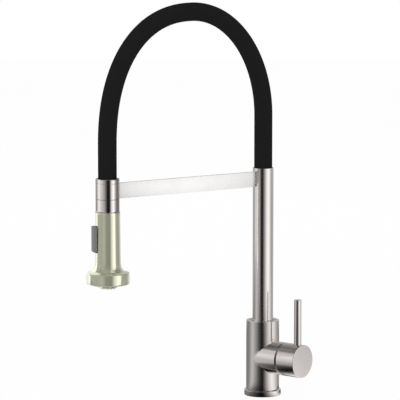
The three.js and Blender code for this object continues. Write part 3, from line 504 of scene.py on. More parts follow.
def softened(corners: Sequence[Corner], closed: bool, steps: int = 4) -> list[Point]:
    """Rounds the corners of an outline and lays a holding point beside each one.

    Args:
        corners: Across, along and the rounding at each corner.
        closed: Whether the outline returns to its first corner.
        steps: How many parts a rounding has.

    Returns:
        The points of the outline.
    """
    points: list[Point] = []
    count = len(corners)
    for index, (across, along, rounding) in enumerate(corners):
        here = Vector((across, along))
        inner = closed or 0 < index < count - 1
        if rounding <= 0 or not inner:
            points.append((across, along))
            continue
        before, after = (Vector(corners[(index + side) % count][:2]) - here for side in (-1, 1))
        angle = before.angle(after)
        shorter = min(before.length * NEARLY_HALF, after.length * NEARLY_HALF)
        reach = min(rounding / math.tan(angle / 2), shorter)
        start, end = here + before.normalized() * reach, here + after.normalized() * reach
        hold = min(reach * HOLD_SHARE, HOLD)
        if before.length > reach * HOLD_ROOM:
            points.append(tuple(start + before.normalized() * hold))
        for step in range(steps + 1):
            share = step / steps
            near, far = start.lerp(here, share), here.lerp(end, share)
            points.append(tuple(near.lerp(far, share)))
        if after.length > reach * HOLD_ROOM:
            points.append(tuple(end + after.normalized() * hold))
    return points


def arc(centre: Point, radii: Point, start: float, stop: float, steps: int) -> list[Corner]:
    """Corners along part of an ellipse.

    Args:
        centre: Its centre, across and along.
        radii: Its half widths.
        start: First angle, in degrees.
        stop: Last angle.
        steps: How many parts it has.

    Returns:
        The corners, with no rounding.
    """
    angles = [math.radians(start + (stop - start) * step / steps) for step in range(steps + 1)]
    return [
        (centre[0] + radii[0] * math.cos(angle), centre[1] + radii[1] * math.sin(angle), 0.0)
        for angle in angles]


def smoothed(mesh: bpy.types.Mesh) -> bpy.types.Mesh:
    """Shades a mesh smooth but for its sharp edges.

    Args:
        mesh: The mesh.

    Returns:
        The same mesh.
    """
    mesh.shade_smooth()
    mesh.set_sharp_from_angle(angle=SHARP_ANGLE)
    return mesh


def finished(mesh: bpy.types.Mesh, place: Matrix = Matrix(), weld: float = WELD) -> bpy.types.Mesh:
    """Welds a closed mesh, turns its faces outwards, smooths it and sets it in place.

    Args:
        mesh: The mesh.
        place: Where it goes.
        weld: How close points are welded.

    Returns:
        The same mesh.
    """
    work = bmesh.new()
    work.from_mesh(mesh)
    bmesh.ops.remove_doubles(work, verts=work.verts, dist=weld)
    bmesh.ops.recalc_face_normals(work, faces=work.faces)
    work.to_mesh(mesh)
    work.free()
    mesh.transform(place)
    return smoothed(mesh)


def new_mesh(
    points: Sequence[Sequence[float]], faces: Sequence[Sequence[int]], place: Matrix = Matrix(),
    weld: float = WELD
) -> bpy.types.Mesh:
    """Makes a finished mesh from points and faces.

    Args:
        points: The points.
        faces: The indices of each face's points.
        place: Where the shape goes.
        weld: How close points are welded.

    Returns:
        The mesh.
    """
    mesh = bpy.data.meshes.new("shape")
    mesh.from_pydata(points, [], faces)
    return finished(mesh, place, weld)


def turned(
    corners: Sequence[Corner], place: Matrix = Matrix(), steps: int = ROUND_STEPS
) -> bpy.types.Mesh:
    """Turns an outline about Z. One that leaves the axis is closed on itself.

    Args:
        corners: Radius, height and rounding of each corner.
        place: Where the shape goes.
        steps: How many parts a full turn has.

    Returns:
        The closed mesh.
    """
    closed = corners[0][0] > 0
    outline = softened(corners, closed)
    points: list[tuple[float, float, float]] = []
    rings: list[list[int]] = []
    for radius, height in outline:
        if radius < 1e-9:
            rings.append([len(points)] * steps)
            points.append((0.0, 0.0, height))
            continue
        rings.append(list(range(len(points), len(points) + steps)))
        for step in range(steps):
            angle = 2 * math.pi * step / steps
            points.append((radius * math.cos(angle), radius * math.sin(angle), height))
    pairs = list(zip(rings, rings[1:] + rings[:1] if closed else rings[1:]))
    faces = []
    for low, high in pairs:
        for step in range(steps):
            after = (step + 1) % steps
            face = list(dict.fromkeys((low[step], low[after], high[after], high[step])))
            if len(face) > 2:
                faces.append(face)
    return new_mesh(points, faces, place)


def rod(
    radius: float, bottom: float, top: float, place: Matrix = Matrix(), steps: int = SMALL_STEPS
) -> bpy.types.Mesh:
    """Makes a plain bar about Z, to cut holes with."""
    return turned([(0, bottom, 0), (radius, bottom, 0), (radius, top, 0), (0, top, 0)], place, steps)


def ring_faces(count: int) -> list[tuple[int, int, int, int]]:
    """The quads between two closed rows of points, one row after the other."""
    steps = [(step, (step + 1) % count) for step in range(count)]
    return [(here, after, after + count, here + count) for here, after in steps]


def prism(outline: Sequence[Point], low: float, high: float, place: Matrix = Matrix()) -> bpy.types.Mesh:
    """Draws an outline in X and Y out along Z.

    Args:
        outline: The points of the outline.
        low: Where it starts.
        high: Where it ends.
        place: Where the shape goes.

    Returns:
        The closed mesh.
    """
    count = len(outline)
    points = [(x, y, level) for level in (low, high) for x, y in outline]
    caps = [tuple(range(count)), tuple(range(count, 2 * count))]
    return new_mesh(points, ring_faces(count) + caps, place)


def block(low: Sequence[float], high: Sequence[float], place: Matrix = Matrix()) -> bpy.types.Mesh:
    """Makes a box between two corners, to cut or join with."""
    outline = [(low[0], low[1]), (high[0], low[1]), (high[0], high[1]), (low[0], high[1])]
    return prism(outline, low[2], high[2], place)


def rounded_rectangle(width: float, height: float, corner: float, steps: int = 8) -> list[Point]:
    """The outline of a plate with rounded corners, centred on the origin."""
    x, y = width / 2, height / 2
    return softened([(-x, -y, corner), (x, -y, corner), (x, y, corner), (-x, y, corner)], True, steps)


def in_scene(name: str, data: bpy.types.ID) -> bpy.types.Object:
    """Puts a mesh, curve, lamp or camera in the scene.

    Args:
        name: The new object's name.
        data: What it shows.

    Returns:
        The object.
    """
    thing = bpy.data.objects.new(name, data)
    bpy.context.scene.collection.objects.link(thing)
    return thing


def loose_object(mesh: bpy.types.Mesh) -> bpy.types.Object:
    """Puts a mesh in the scene to be worked on."""
    return in_scene("work", mesh)


def settled(thing: bpy.types.Object) -> bpy.types.Mesh:
    """Applies an object's modifiers and takes the object away.

    Args:
        thing: The object.

    Returns:
        Its final mesh.
    """
    bpy.context.view_layer.update()
    view = bpy.context.evaluated_depsgraph_get()
    mesh = bpy.data.meshes.new_from_object(thing.evaluated_get(view), depsgraph=view)
    bpy.data.objects.remove(thing)
    return mesh


def combined(
    mesh: bpy.types.Mesh, others: Iterable[bpy.types.Mesh], operation: str = "DIFFERENCE"
) -> bpy.types.Mesh:
    """Cuts other closed shapes out of a mesh, or joins them to it.

    Args:
        mesh: The mesh.
        others: The shapes.
        operation: The name of the Boolean modifier's operation.

    Returns:
        The new mesh.
    """
    thing = loose_object(mesh)
    tools = [loose_object(other) for other in others]
    for tool in tools:
        modifier = thing.modifiers.new("shape", "BOOLEAN")
        modifier.operation = operation
        modifier.solver = "EXACT"
        modifier.object = tool
    result = settled(thing)
    for tool in tools:
        bpy.data.objects.remove(tool)
    return smoothed(result)


def outlined(
    thing: bpy.types.Object, width: float, segments: int = 3, angle: float = SHARP_ANGLE
) -> bpy.types.Mesh:
    """Rounds the edges of an object's mesh.

    Args:
        thing: The object, which is taken away.
        width: The width of the rounding.
        segments: How many parts it has.
        angle: Edges sharper than this are rounded.

    Returns:
        The rounded mesh.
    """
    modifier = thing.modifiers.new("edges", "BEVEL")
    modifier.width = width
    modifier.segments = segments
    modifier.limit_method = "ANGLE"
    modifier.angle_limit = angle
    modifier.harden_normals = False
    return smoothed(settled(thing))


def walled(mesh: bpy.types.Mesh, wall: float) -> bpy.types.Mesh:
    """Gives an open tube its wall, inwards, with a rim at each end.

    Args:
        mesh: The tube's outer surface.
        wall: The thickness of the wall.

    Returns:
        The closed tube.
    """
    thing = loose_object(mesh)
    modifier = thing.modifiers.new("wall", "SOLIDIFY")
    modifier.thickness = wall
    modifier.offset = -1
    modifier.use_rim = True
    return smoothed(settled(thing))


def map_round(mesh: bpy.types.Mesh, places: Sequence[Point]) -> None:
    """Gives a tube a UV map that runs on past its seam.

    Args:
        mesh: The tube.
        places: Turns and metres along, at each of its points.
    """
    layer = mesh.uv_layers.new(name="UVMap")
    for polygon in mesh.polygons:
        corners = [places[mesh.loops[loop].vertex_index] for loop in polygon.loop_indices]
        turns = [turn for turn, _ in corners]
        wraps = max(turns) - min(turns) > 0.5
        for loop, (turn, along) in zip(polygon.loop_indices, corners):
            layer.data[loop].uv = (turn + 1 if wraps and turn < 0.5 else turn, along)


def deliver(
    name: str, mesh: bpy.types.Mesh, finish: Finish, slot: Slot, body: Body, *nodes: str
) -> bpy.types.Object:
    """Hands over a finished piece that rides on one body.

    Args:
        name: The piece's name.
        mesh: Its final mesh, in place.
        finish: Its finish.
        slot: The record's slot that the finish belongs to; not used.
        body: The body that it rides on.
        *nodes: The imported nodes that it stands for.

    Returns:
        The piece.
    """
    piece = dressed(name, mesh, finish)
    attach(piece, body.value)
    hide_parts(*nodes)
    return piece


def dressed(name: str, mesh: bpy.types.Mesh, finish: Finish) -> bpy.types.Object:
    """Names a mesh, gives it its material and puts it in the scene.

    Args:
        name: The piece's name.
        mesh: Its final mesh, in place.
        finish: Its finish.

    Returns:
        The piece.
    """
    mesh.name = name
    mesh.materials.clear()
    mesh.materials.append(material_of(finish))
    piece = in_scene(name, mesh)
    LOG.info("%s: %d faces, %s", name, len(mesh.polygons), finish.name)
    return piece


# ---- Geometry node recipes ----


class Recipe(Board):
    """A geometry node tree with named sizes, for what repeats or follows a line."""

    def __init__(self, name: str) -> None:
        """Starts the tree with its geometry input and output.

        Args:
            name: The tree's name.
        """
        super().__init__(bpy.data.node_groups.new(name, "GeometryNodeTree"))
        face = self.tree.interface
        face.new_socket("Geometry", in_out="INPUT", socket_type="NodeSocketGeometry")
        face.new_socket("Geometry", in_out="OUTPUT", socket_type="NodeSocketGeometry")
        self.start = self.tree.nodes.new("NodeGroupInput")

    def size(self, name: str, kind: str = "NodeSocketFloat") -> Socket:
        """Adds a named input to the tree and returns it."""
        self.tree.interface.new_socket(name, in_out="INPUT", socket_type=kind)
        return self.start.outputs[name]

    def finish(self, shape: Socket, finish: Finish) -> None:
        """Ends the tree in real geometry with its material.

        Args:
            shape: The geometry that the tree makes.
            finish: Its finish.
        """
        real = self.add("GeometryNodeRealizeInstances", {"Geometry": shape})
        smooth = self.add("GeometryNodeSetShadeSmooth", {"Geometry": real.outputs[0]})
        inputs = {"Geometry": smooth.outputs[0], "Material": material_of(finish)}
        painted = self.add("GeometryNodeSetMaterial", inputs)
        output = self.tree.nodes.new("NodeGroupOutput")
        self.tree.links.new(painted.outputs[0], output.inputs[0])

    def make(self, source: bpy.types.Object, sizes: Mapping[str, object]) -> bpy.types.Mesh:
        """Runs the tree on an object.

        Args:
            source: The object, which is taken away.
            sizes: The value of each named input.

        Returns:
            The mesh that the tree makes.
        """
        modifier = source.modifiers.new("recipe", "NODES")
        modifier.node_group = self.tree
        for item in self.tree.interface.items_tree:
            if item.in_out == "INPUT" and item.name in sizes:
                modifier[item.identifier] = sizes[item.name]
        return settled(source)


def swept_recipe(finish: Finish) -> Recipe:
    """Makes the tree that sweeps a round section along a line and maps it.

    Args:
        finish: The finish of the swept tube.

    Returns:
        The tree, with a Radius and a Facets input.
    """
    recipe = Recipe("swept_tube")
    radius, facets = recipe.size("Radius"), recipe.size("Facets", "NodeSocketInt")
    inputs = {"Resolution": facets, "Radius": radius}
    section = recipe.add("GeometryNodeCurvePrimitiveCircle", inputs).outputs[0]
    marks = []
    for curve, name, output in (
            (recipe.start.outputs["Geometry"], "along", "Length"), (section, "around", "Factor")):
        place = recipe.add("GeometryNodeSplineParameter").outputs[output]
        store = recipe.add(
            "GeometryNodeStoreNamedAttribute", {"Geometry": curve, "Name": name, "Value": place},
            data_type="FLOAT", domain="POINT")
        marks.append(store.outputs[0])
    inputs = {"Curve": marks[0], "Profile Curve": marks[1]}
    recipe.finish(recipe.add("GeometryNodeCurveToMesh", inputs).outputs[0], finish)
    return recipe


def coil_recipe(finish: Finish) -> Recipe:
    """Makes the tree that winds a wire along a line.

    Args:
        finish: The finish of the wire.

    Returns:
        The tree, with Coil Radius, Wire Radius, Turns and Steps inputs.
    """
    recipe = Recipe("wound_spring")
    coil, wire = recipe.size("Coil Radius"), recipe.size("Wire Radius")
    turns, steps = recipe.size("Turns"), recipe.size("Steps", "NodeSocketInt")
    count = recipe.math("MULTIPLY", turns, steps)
    inputs = {"Curve": recipe.start.outputs["Geometry"], "Count": count}
    line = recipe.add("GeometryNodeResampleCurve", inputs).outputs[0]
    place = recipe.add("GeometryNodeInputIndex").outputs[0]
    angle = recipe.math("DIVIDE", recipe.math("MULTIPLY", place, 2 * math.pi), steps)
    normal = recipe.add("GeometryNodeInputNormal").outputs[0]
    tangent = recipe.add("GeometryNodeInputTangent").outputs[0]
    inputs = {0: tangent, 1: normal}
    side = recipe.add("ShaderNodeVectorMath", inputs, operation="CROSS_PRODUCT").outputs[0]
    parts = []
    for direction, share in ((normal, "COSINE"), (side, "SINE")):
        length = recipe.math("MULTIPLY", recipe.math(share, angle), coil)
        node = recipe.add("ShaderNodeVectorMath", {0: direction}, operation="SCALE")
        recipe.tree.links.new(length, node.inputs["Scale"])
        parts.append(node.outputs[0])
    offset = recipe.add("ShaderNodeVectorMath", {0: parts[0], 1: parts[1]}, operation="ADD").outputs[0]
    wound = recipe.add("GeometryNodeSetPosition", {"Geometry": line, "Offset": offset}).outputs[0]
    section = recipe.add("GeometryNodeCurvePrimitiveCircle", {"Resolution": 6, "Radius": wire})
    inputs = {"Curve": wound, "Profile Curve": section.outputs[0], "Fill Caps": True}
    recipe.finish(recipe.add("GeometryNodeCurveToMesh", inputs).outputs[0], finish)
    return recipe


def nozzle_recipe(finish: Finish) -> Recipe:
    """Makes the tree that sets rubber nozzles round a circle on their mat.

    Args:
        finish: The finish of the nozzles.

    Returns:
        The tree, with Count, Circle, Foot, Tip, Bottom and Length inputs.
    """
    recipe = Recipe("rubber_nozzles")
    count, circle = recipe.size("Count", "NodeSocketInt"), recipe.size("Circle")
    foot, tip = recipe.size("Foot"), recipe.size("Tip")
    bottom, length = recipe.size("Bottom"), recipe.size("Length")
    ring = recipe.add("GeometryNodeMeshCircle", {"Vertices": count, "Radius": circle}).outputs[0]
    nub = recipe.add("GeometryNodeMeshCone", {
        "Vertices": 20, "Side Segments": 3, "Radius Top": foot, "Radius Bottom": tip,
        "Depth": length}).outputs["Mesh"]
    placed = recipe.add("GeometryNodeInstanceOnPoints", {"Points": ring, "Instance": nub}).outputs[0]
    centre = recipe.add("ShaderNodeCombineXYZ", {0: DOCK_AXIS.x, 1: DOCK_AXIS.y, 2: bottom}).outputs[0]
    moved = recipe.add("GeometryNodeTransform", {"Geometry": placed, "Translation": centre}).outputs[0]
    join = recipe.add("GeometryNodeJoinGeometry")
    for shape in (recipe.start.outputs["Geometry"], moved):
        recipe.tree.links.new(shape, join.inputs[0])
    recipe.finish(join.outputs[0], finish)
    return recipe


# ---- Sub-assemblies ----


@dataclass
class Mixer:
    """The base ring and the body: an upright barrel with a side branch of the same diameter."""

    edge: float = 0.5 * MM
    top_edge: float = 0.3 * MM
    shoulder: float = 8.1 * MM
    foot: float = 2.3 * MM
    spigot: float = 20 * MM
    branch_reach: float = 38.7 * MM
    mouth_start: float = 36.7 * MM
    mouth_radius: float = 20.86 * MM
    cartridge_floor: float = 9 * MM
    cartridge_bore: float = 18 * MM
    nut_bore: float = 19.6 * MM
    nut_seat: float = 32.3 * MM
    swivel_floor: float = 78.4 * MM
    bush_bore: float = 17 * MM
    gland_seat: float = 96.7 * MM
    gland_bore: float = 18.6 * MM
    shank_bore: float = 16.8 * MM
    shank_seat: float = 24.3 * MM
    passage: float = 7 * MM
    ring_bore: float = 17.2 * MM
    ring_recess: float = 20.3 * MM
    ring_web: float = 2 * MM
    ring_bevel: float = 0.8 * MM
    groove_inner: float = 19.5 * MM
    groove_gap: float = 0.2 * MM
    gland_inner: float = 14.3 * MM
    tail_bore: float = 3.8 * MM
    waterway: float = 2.4 * MM
    outlet_drop: float = 17.6 * MM
    skin_rows: int = 12
    pocket_pole: float = 1e-4 * MM
    body_weld: float = 2e-6

    def ring(self) -> None:
        """Builds the base ring with its bevelled upper edge and gasket groove."""
        room = Extent.of("base_ring")
        gasket = Extent.of("deck_gasket")
        radius, top, bevel = room.radius, room.high.z, self.ring_bevel
        groove = gasket.high.z + self.groove_gap
        inner, outer = self.groove_inner, gasket.radius + self.groove_gap
        mesh = turned([
            (self.ring_bore, 0, FINE), (inner, 0, FINE), (inner, groove, 0), (outer, groove, 0),
            (outer, 0, FINE), (radius, 0, SOFT), (radius, top - bevel, 0.25 * MM),
            (radius - bevel, top, 0.25 * MM), (self.ring_recess, top, FINE),
            (self.ring_recess, self.ring_web, FINE), (self.ring_bore, self.ring_web, FINE)])
        deliver("base_ring_turned", mesh, BRUSHED_NICKEL, Slot.NICKEL, Body.BASE, "base_ring")

    def skin(self, radius: float, top: float) -> Sheet:
        """Makes the outside of the barrel and branch, which meet along two straight mitres.

        Args:
            radius: The radius of both.
            top: The height of the body.

        Returns:
            Points in the frame of the branch, and faces.
        """
        points: list[Vector] = []
        faces: list[tuple[int, ...]] = []
        rows = self.skin_rows

        def sheet(lines: list[list[Vector]]) -> None:
            """Adds a sheet of quads that closes round on itself.

            Args:
                lines: Its lines of points, each from one edge of the sheet to the other.
            """
            first = len(points)
            length = len(lines[0])
            for line in lines:
                points.extend(line)
            for index in range(len(lines)):
                this, following = first + index * length, first + ((index + 1) % len(lines)) * length
                for step in range(length - 1):
                    faces.append((this + step, following + step, following + step + 1, this + step + 1))

        bottom = self.shoulder - BRANCH_HEIGHT
        top = top - BRANCH_HEIGHT
        for side, end, edge in ((-1, bottom, self.edge), (1, top, self.top_edge)):
            profile = softened([(radius, 0, 0), (radius, end, edge), (radius - 4 * edge, end, 0)], False)
            lines = []
            for step in range(ROUND_STEPS):
                angle = 2 * math.pi * step / ROUND_STEPS
                start = side * radius * max(math.cos(angle), 0.0)
                stop = profile[1][1]
                heights = [start + (stop - start) * row / rows for row in range(rows)]
                outline = [(radius, height) for height in heights] + list(profile[1:])
                lines.append([
                    Vector((r * math.cos(angle), r * math.sin(angle), z)) for r, z in outline])
            sheet(lines)
        mouth = softened([
            (radius, 0, 0), (radius, self.mouth_start, BROKEN),
            (self.mouth_radius, self.branch_reach, FINE), (self.nut_bore, self.branch_reach, 0)], False)
        lines = []
        for step in range(ROUND_STEPS):
            angle = 2 * math.pi * step / ROUND_STEPS + QUARTER_TURN
            start = radius * abs(math.sin(angle))
            reaches = [start + (mouth[1][1] - start) * row / rows for row in range(rows)]
            outline = [(radius, reach) for reach in reaches] + list(mouth[1:])
            lines.append([Vector((x, r * math.cos(angle), r * math.sin(angle))) for r, x in outline])
        sheet(lines)
        return points, faces

    def inside(self, corners: Sequence[Corner], place: Matrix) -> Sheet:
        """Turns an open outline, for the inside of a bore.

        Args:
            corners: Radius, height and rounding of each corner.
            place: Where the bore goes.

        Returns:
            Points in the frame of the branch, and faces.
        """
        outline = softened(corners, False)
        points, faces = [], []
        for radius, height in outline:
            for step in range(ROUND_STEPS):
                angle = 2 * math.pi * step / ROUND_STEPS
                x, y = radius * math.cos(angle), radius * math.sin(angle)
                points.append(place @ Vector((x, y, height)))
        for ring in range(len(outline) - 1):
            for step in range(ROUND_STEPS):
                after = (step + 1) % ROUND_STEPS
                low, high = ring * ROUND_STEPS, (ring + 1) * ROUND_STEPS
                faces.append((low + step, low + after, high + after, high + step))
        return points, faces

    def body(self) -> None:
        """Builds the body, with its valve pocket and the bores for the column and the shank."""
        room = Extent.of("faucet_body")
        radius, top = -room.low.x, room.high.z
        points, faces = self.skin(radius, top)
        below = Matrix.Translation((0, 0, -BRANCH_HEIGHT))
        along = Matrix.Rotation(QUARTER_TURN, 4, "Y")
        shoulder_inner = radius - 4 * self.edge
        through = self.inside([
            (radius - 4 * self.top_edge, top, 0), (self.gland_bore, top, FINE),
            (self.gland_bore, self.gland_seat, 0), (self.bush_bore, self.gland_seat, 0),
            (self.bush_bore, self.swivel_floor, 0), (self.passage, self.swivel_floor, 0),
            (self.passage, self.shank_seat, 0), (self.shank_bore, self.shank_seat, 0),
            (self.shank_bore, self.foot, FINE), (self.spigot, self.foot, FINE),
            (self.spigot, self.shoulder, 0), (shoulder_inner, self.shoulder, 0)], below)
        pocket = self.inside([
            (self.nut_bore, self.branch_reach, 0), (self.nut_bore, self.nut_seat, 0),
            (self.cartridge_bore, self.nut_seat, 0), (self.cartridge_bore, self.cartridge_floor, 0),
            (self.pocket_pole, self.cartridge_floor, 0)], along)
        for more_points, more_faces in (through, pocket):
            first = len(points)
            points += more_points
            faces += [tuple(index + first for index in face) for face in more_faces]
        mesh = self.drilled(new_mesh(points, faces, BRANCH_FRAME, self.body_weld))
        deliver("mixer_body", mesh, BRUSHED_NICKEL, Slot.NICKEL, Body.BASE, "faucet_body")

    def drilled(self, mesh: bpy.types.Mesh) -> bpy.types.Mesh:
        """Drills the waterways from the inlet and outlet tails to the valve.

        Args:
            mesh: The body.

        Returns:
            The drilled body.
        """
        tools = []
        for name in ("hot_inlet_tail", "cold_inlet_tail", "outlet_tail"):
            room = Extent.of(name)
            spot = Matrix.Translation((room.middle.x, room.middle.y, 0))
            supply = name != "outlet_tail"
            end = BRANCH_HEIGHT + self.waterway if supply else BRANCH_HEIGHT - self.outlet_drop
            low, high = self.shank_seat - CUT_SPARE, room.high.z + SEAT_GAP
            tools.append(rod(self.tail_bore, low, high, spot, BORE_STEPS))
            tools.append(rod(self.waterway, room.high.z, end, spot, BORE_STEPS))
            if supply:
                local = BRANCH_FRAME.inverted() @ Vector((room.middle.x, room.middle.y, BRANCH_HEIGHT))
                along = Matrix.Translation((0, local.y, 0)) @ Matrix.Rotation(QUARTER_TURN, 4, "Y")
                far = self.cartridge_floor + CUT_SPARE
                tools.append(rod(self.waterway, 0, far, BRANCH_FRAME @ along, BORE_STEPS))
        return combined(mesh, tools)

    def gland(self) -> None:
        """Builds the flat nut round the foot of the column."""
        room = Extent.of("gland_nut")
        bore, low, top = self.gland_inner, room.low.z, room.high.z
        mesh = turned([
            (bore, low, FINE), (room.radius, low, FINE), (room.radius, top, 0.12 * MM),
            (bore, top, 0.15 * MM)])
        deliver("gland_nut_turned", mesh, SHOULDER_NICKEL, Slot.NICKEL, Body.BASE, "gland_nut")

    def build(self) -> None:
        """Builds every piece of the mixer."""
        self.ring()
        self.body()
        self.gland()


@dataclass
class Handle:
    """The dome behind the cap, the cap with its flat disc, and the pin lever."""

    cap_start: float = 39.7 * MM
    cap_end: float = 68.1 * MM
    cap_bore: float = 20.5 * MM
    face_inside: float = 65.5 * MM
    hub_start: float = 49.9 * MM
    hub_radius: float = 10 * MM
    edge: float = 0.72 * MM
    stem_bore: float = 3.9 * MM
    stem_end: float = 55.8 * MM
    lever_station: float = 59.4 * MM
    lever_hole: float = 5.3 * MM
    stud_bore: float = 3.2 * MM
    grub_station: float = 53.4 * MM
    grub_bore: float = 2.3 * MM
    grub_access: float = 2.6 * MM
    dome_centre: float = 22.2 * MM
    dome_outer: float = 25.55 * MM
    dome_inner: float = 24.35 * MM
    dome_skirt: float = 19.3 * MM
    dome_start: float = 37.5 * MM
    dome_mouth: float = 13.4 * MM
    dome_wall: float = 1.2 * MM
    dome_steps: int = 10
    stud_end: float = 1.7 * MM
    grub_end: float = 2 * MM
    lever_stud: float = 2.9 * MM
    lever_foot: float = 17 * MM
    lever_steps: int = 96

    def dome(self) -> None:
        """Builds the dome that closes the joint behind the cap; its near-black nickel is painted shade for the
        dark gap there.
        """
        def arch(sphere: float, start: float, stop: float) -> list[Corner]:
            """Corners on a sphere about the tilt axis.

            Args:
                sphere: The sphere's radius.
                start: The first corner's distance from the branch axis.
                stop: The last corner's.

            Returns:
                The corners.
            """
            first, last = (math.degrees(math.asin(radius / sphere)) for radius in (start, stop))
            ring = arc((self.dome_centre, 0), (sphere, sphere), first, last, self.dome_steps)
            return [(radius, station, 0.0) for station, radius, _ in ring]

        skirt, inner = self.dome_skirt, self.dome_skirt - self.dome_wall
        mesh = turned(
            [(inner, self.dome_start, 0), (skirt, self.dome_start, 0)]
            + arch(self.dome_outer, skirt, self.dome_mouth)
            + arch(self.dome_inner, self.dome_mouth, inner), ALONG_BRANCH)
        deliver("joint_dome", mesh, SHADED_DOME_NICKEL, Slot.NICKEL, Body.BASE, "dome_cover")

    def cap(self) -> None:
        """Builds the cap, a cup with a hub that grips the stem of the cartridge."""
        radius = -Extent.of("faucet_body").low.x
        mesh = turned([
            (0, self.cap_end, 0), (radius, self.cap_end, self.edge), (radius, self.cap_start, 0.25 * MM),
            (self.cap_bore, self.cap_start, 0.15 * MM), (self.cap_bore, self.face_inside, 0),
            (self.hub_radius, self.face_inside, 0), (self.hub_radius, self.hub_start, BROKEN),
            (0, self.hub_start, 0)], ALONG_BRANCH)
        lever = BRANCH_FRAME @ Matrix.Translation((self.lever_station, 0, 0))
        grub = BRANCH_FRAME @ Matrix.Translation((self.grub_station, 0, 0))
        reach, hub = radius + CUT_SPARE, self.hub_radius + CUT_SPARE
        past_hub = self.hub_radius + 1.5 * MM
        mesh = combined(mesh, [
            rod(self.stem_bore, self.hub_start - CUT_SPARE, self.stem_end, ALONG_BRANCH),
            rod(self.lever_hole, hub, reach, lever),
            rod(self.stud_bore, self.stud_end, past_hub, lever, BORE_STEPS),
            rod(self.grub_access, -reach, -hub, grub, BORE_STEPS),
            rod(self.grub_bore, -past_hub, -self.grub_end, grub, BORE_STEPS)])
        deliver("handle_cap_turned", mesh, BRANCH_NICKEL, Slot.NICKEL, Body.HANDLE, "handle_cap")

    def lever(self) -> None:
        """Builds the pin lever with the stud that screws into the hub."""
        room = Extent.of("pin_lever")
        radius, top = room.radius, room.high.z - BRANCH_HEIGHT
        low = room.low.z - BRANCH_HEIGHT
        mesh = turned([
            (0, low, 0), (self.lever_stud, low, BROKEN), (self.lever_stud, self.lever_foot, 0),
            (radius, self.lever_foot, SOFT), (radius, top, 0.6 * MM), (0, top, 0)],
            BRANCH_FRAME @ Matrix.Translation((self.lever_station, 0, 0)), self.lever_steps)
        deliver("lever_pin_turned", mesh, BRUSHED_NICKEL, Slot.NICKEL, Body.HANDLE, "pin_lever")

    def build(self) -> None:
        """Builds every piece of the handle."""
        self.dome()
        self.cap()
        self.lever()


def tenon_slot(start: float, end: float) -> bpy.types.Mesh:
    """Makes the room that a tenon of the arm goes into, between two places along the arm."""
    middle = Extent.of("dock_arm").middle.z
    return block((-SLOT_HALF, start, middle - SLOT_TALL), (SLOT_HALF, end, middle + SLOT_TALL))


@dataclass
class Column:
    """The straight tube that swivels in the body."""

    wall: float = 1.5 * MM
    edge: float = 0.4 * MM

    def build(self) -> None:
        """Builds the tube with the slot that takes the tenon of the arm."""
        room = Extent.of("column_tube")
        radius, low, top = room.radius, room.low.z, room.high.z
        mesh = turned([
            (radius - self.wall, low, FINE), (radius, low, SOFT), (radius, top, self.edge),
            (radius - self.wall, top, BROKEN)])
        mesh = combined(mesh, [tenon_slot(-radius - CUT_SPARE, 0)])
        deliver("column_tube_drawn", mesh, BRUSHED_NICKEL, Slot.NICKEL, Body.SPOUT, "column_tube")


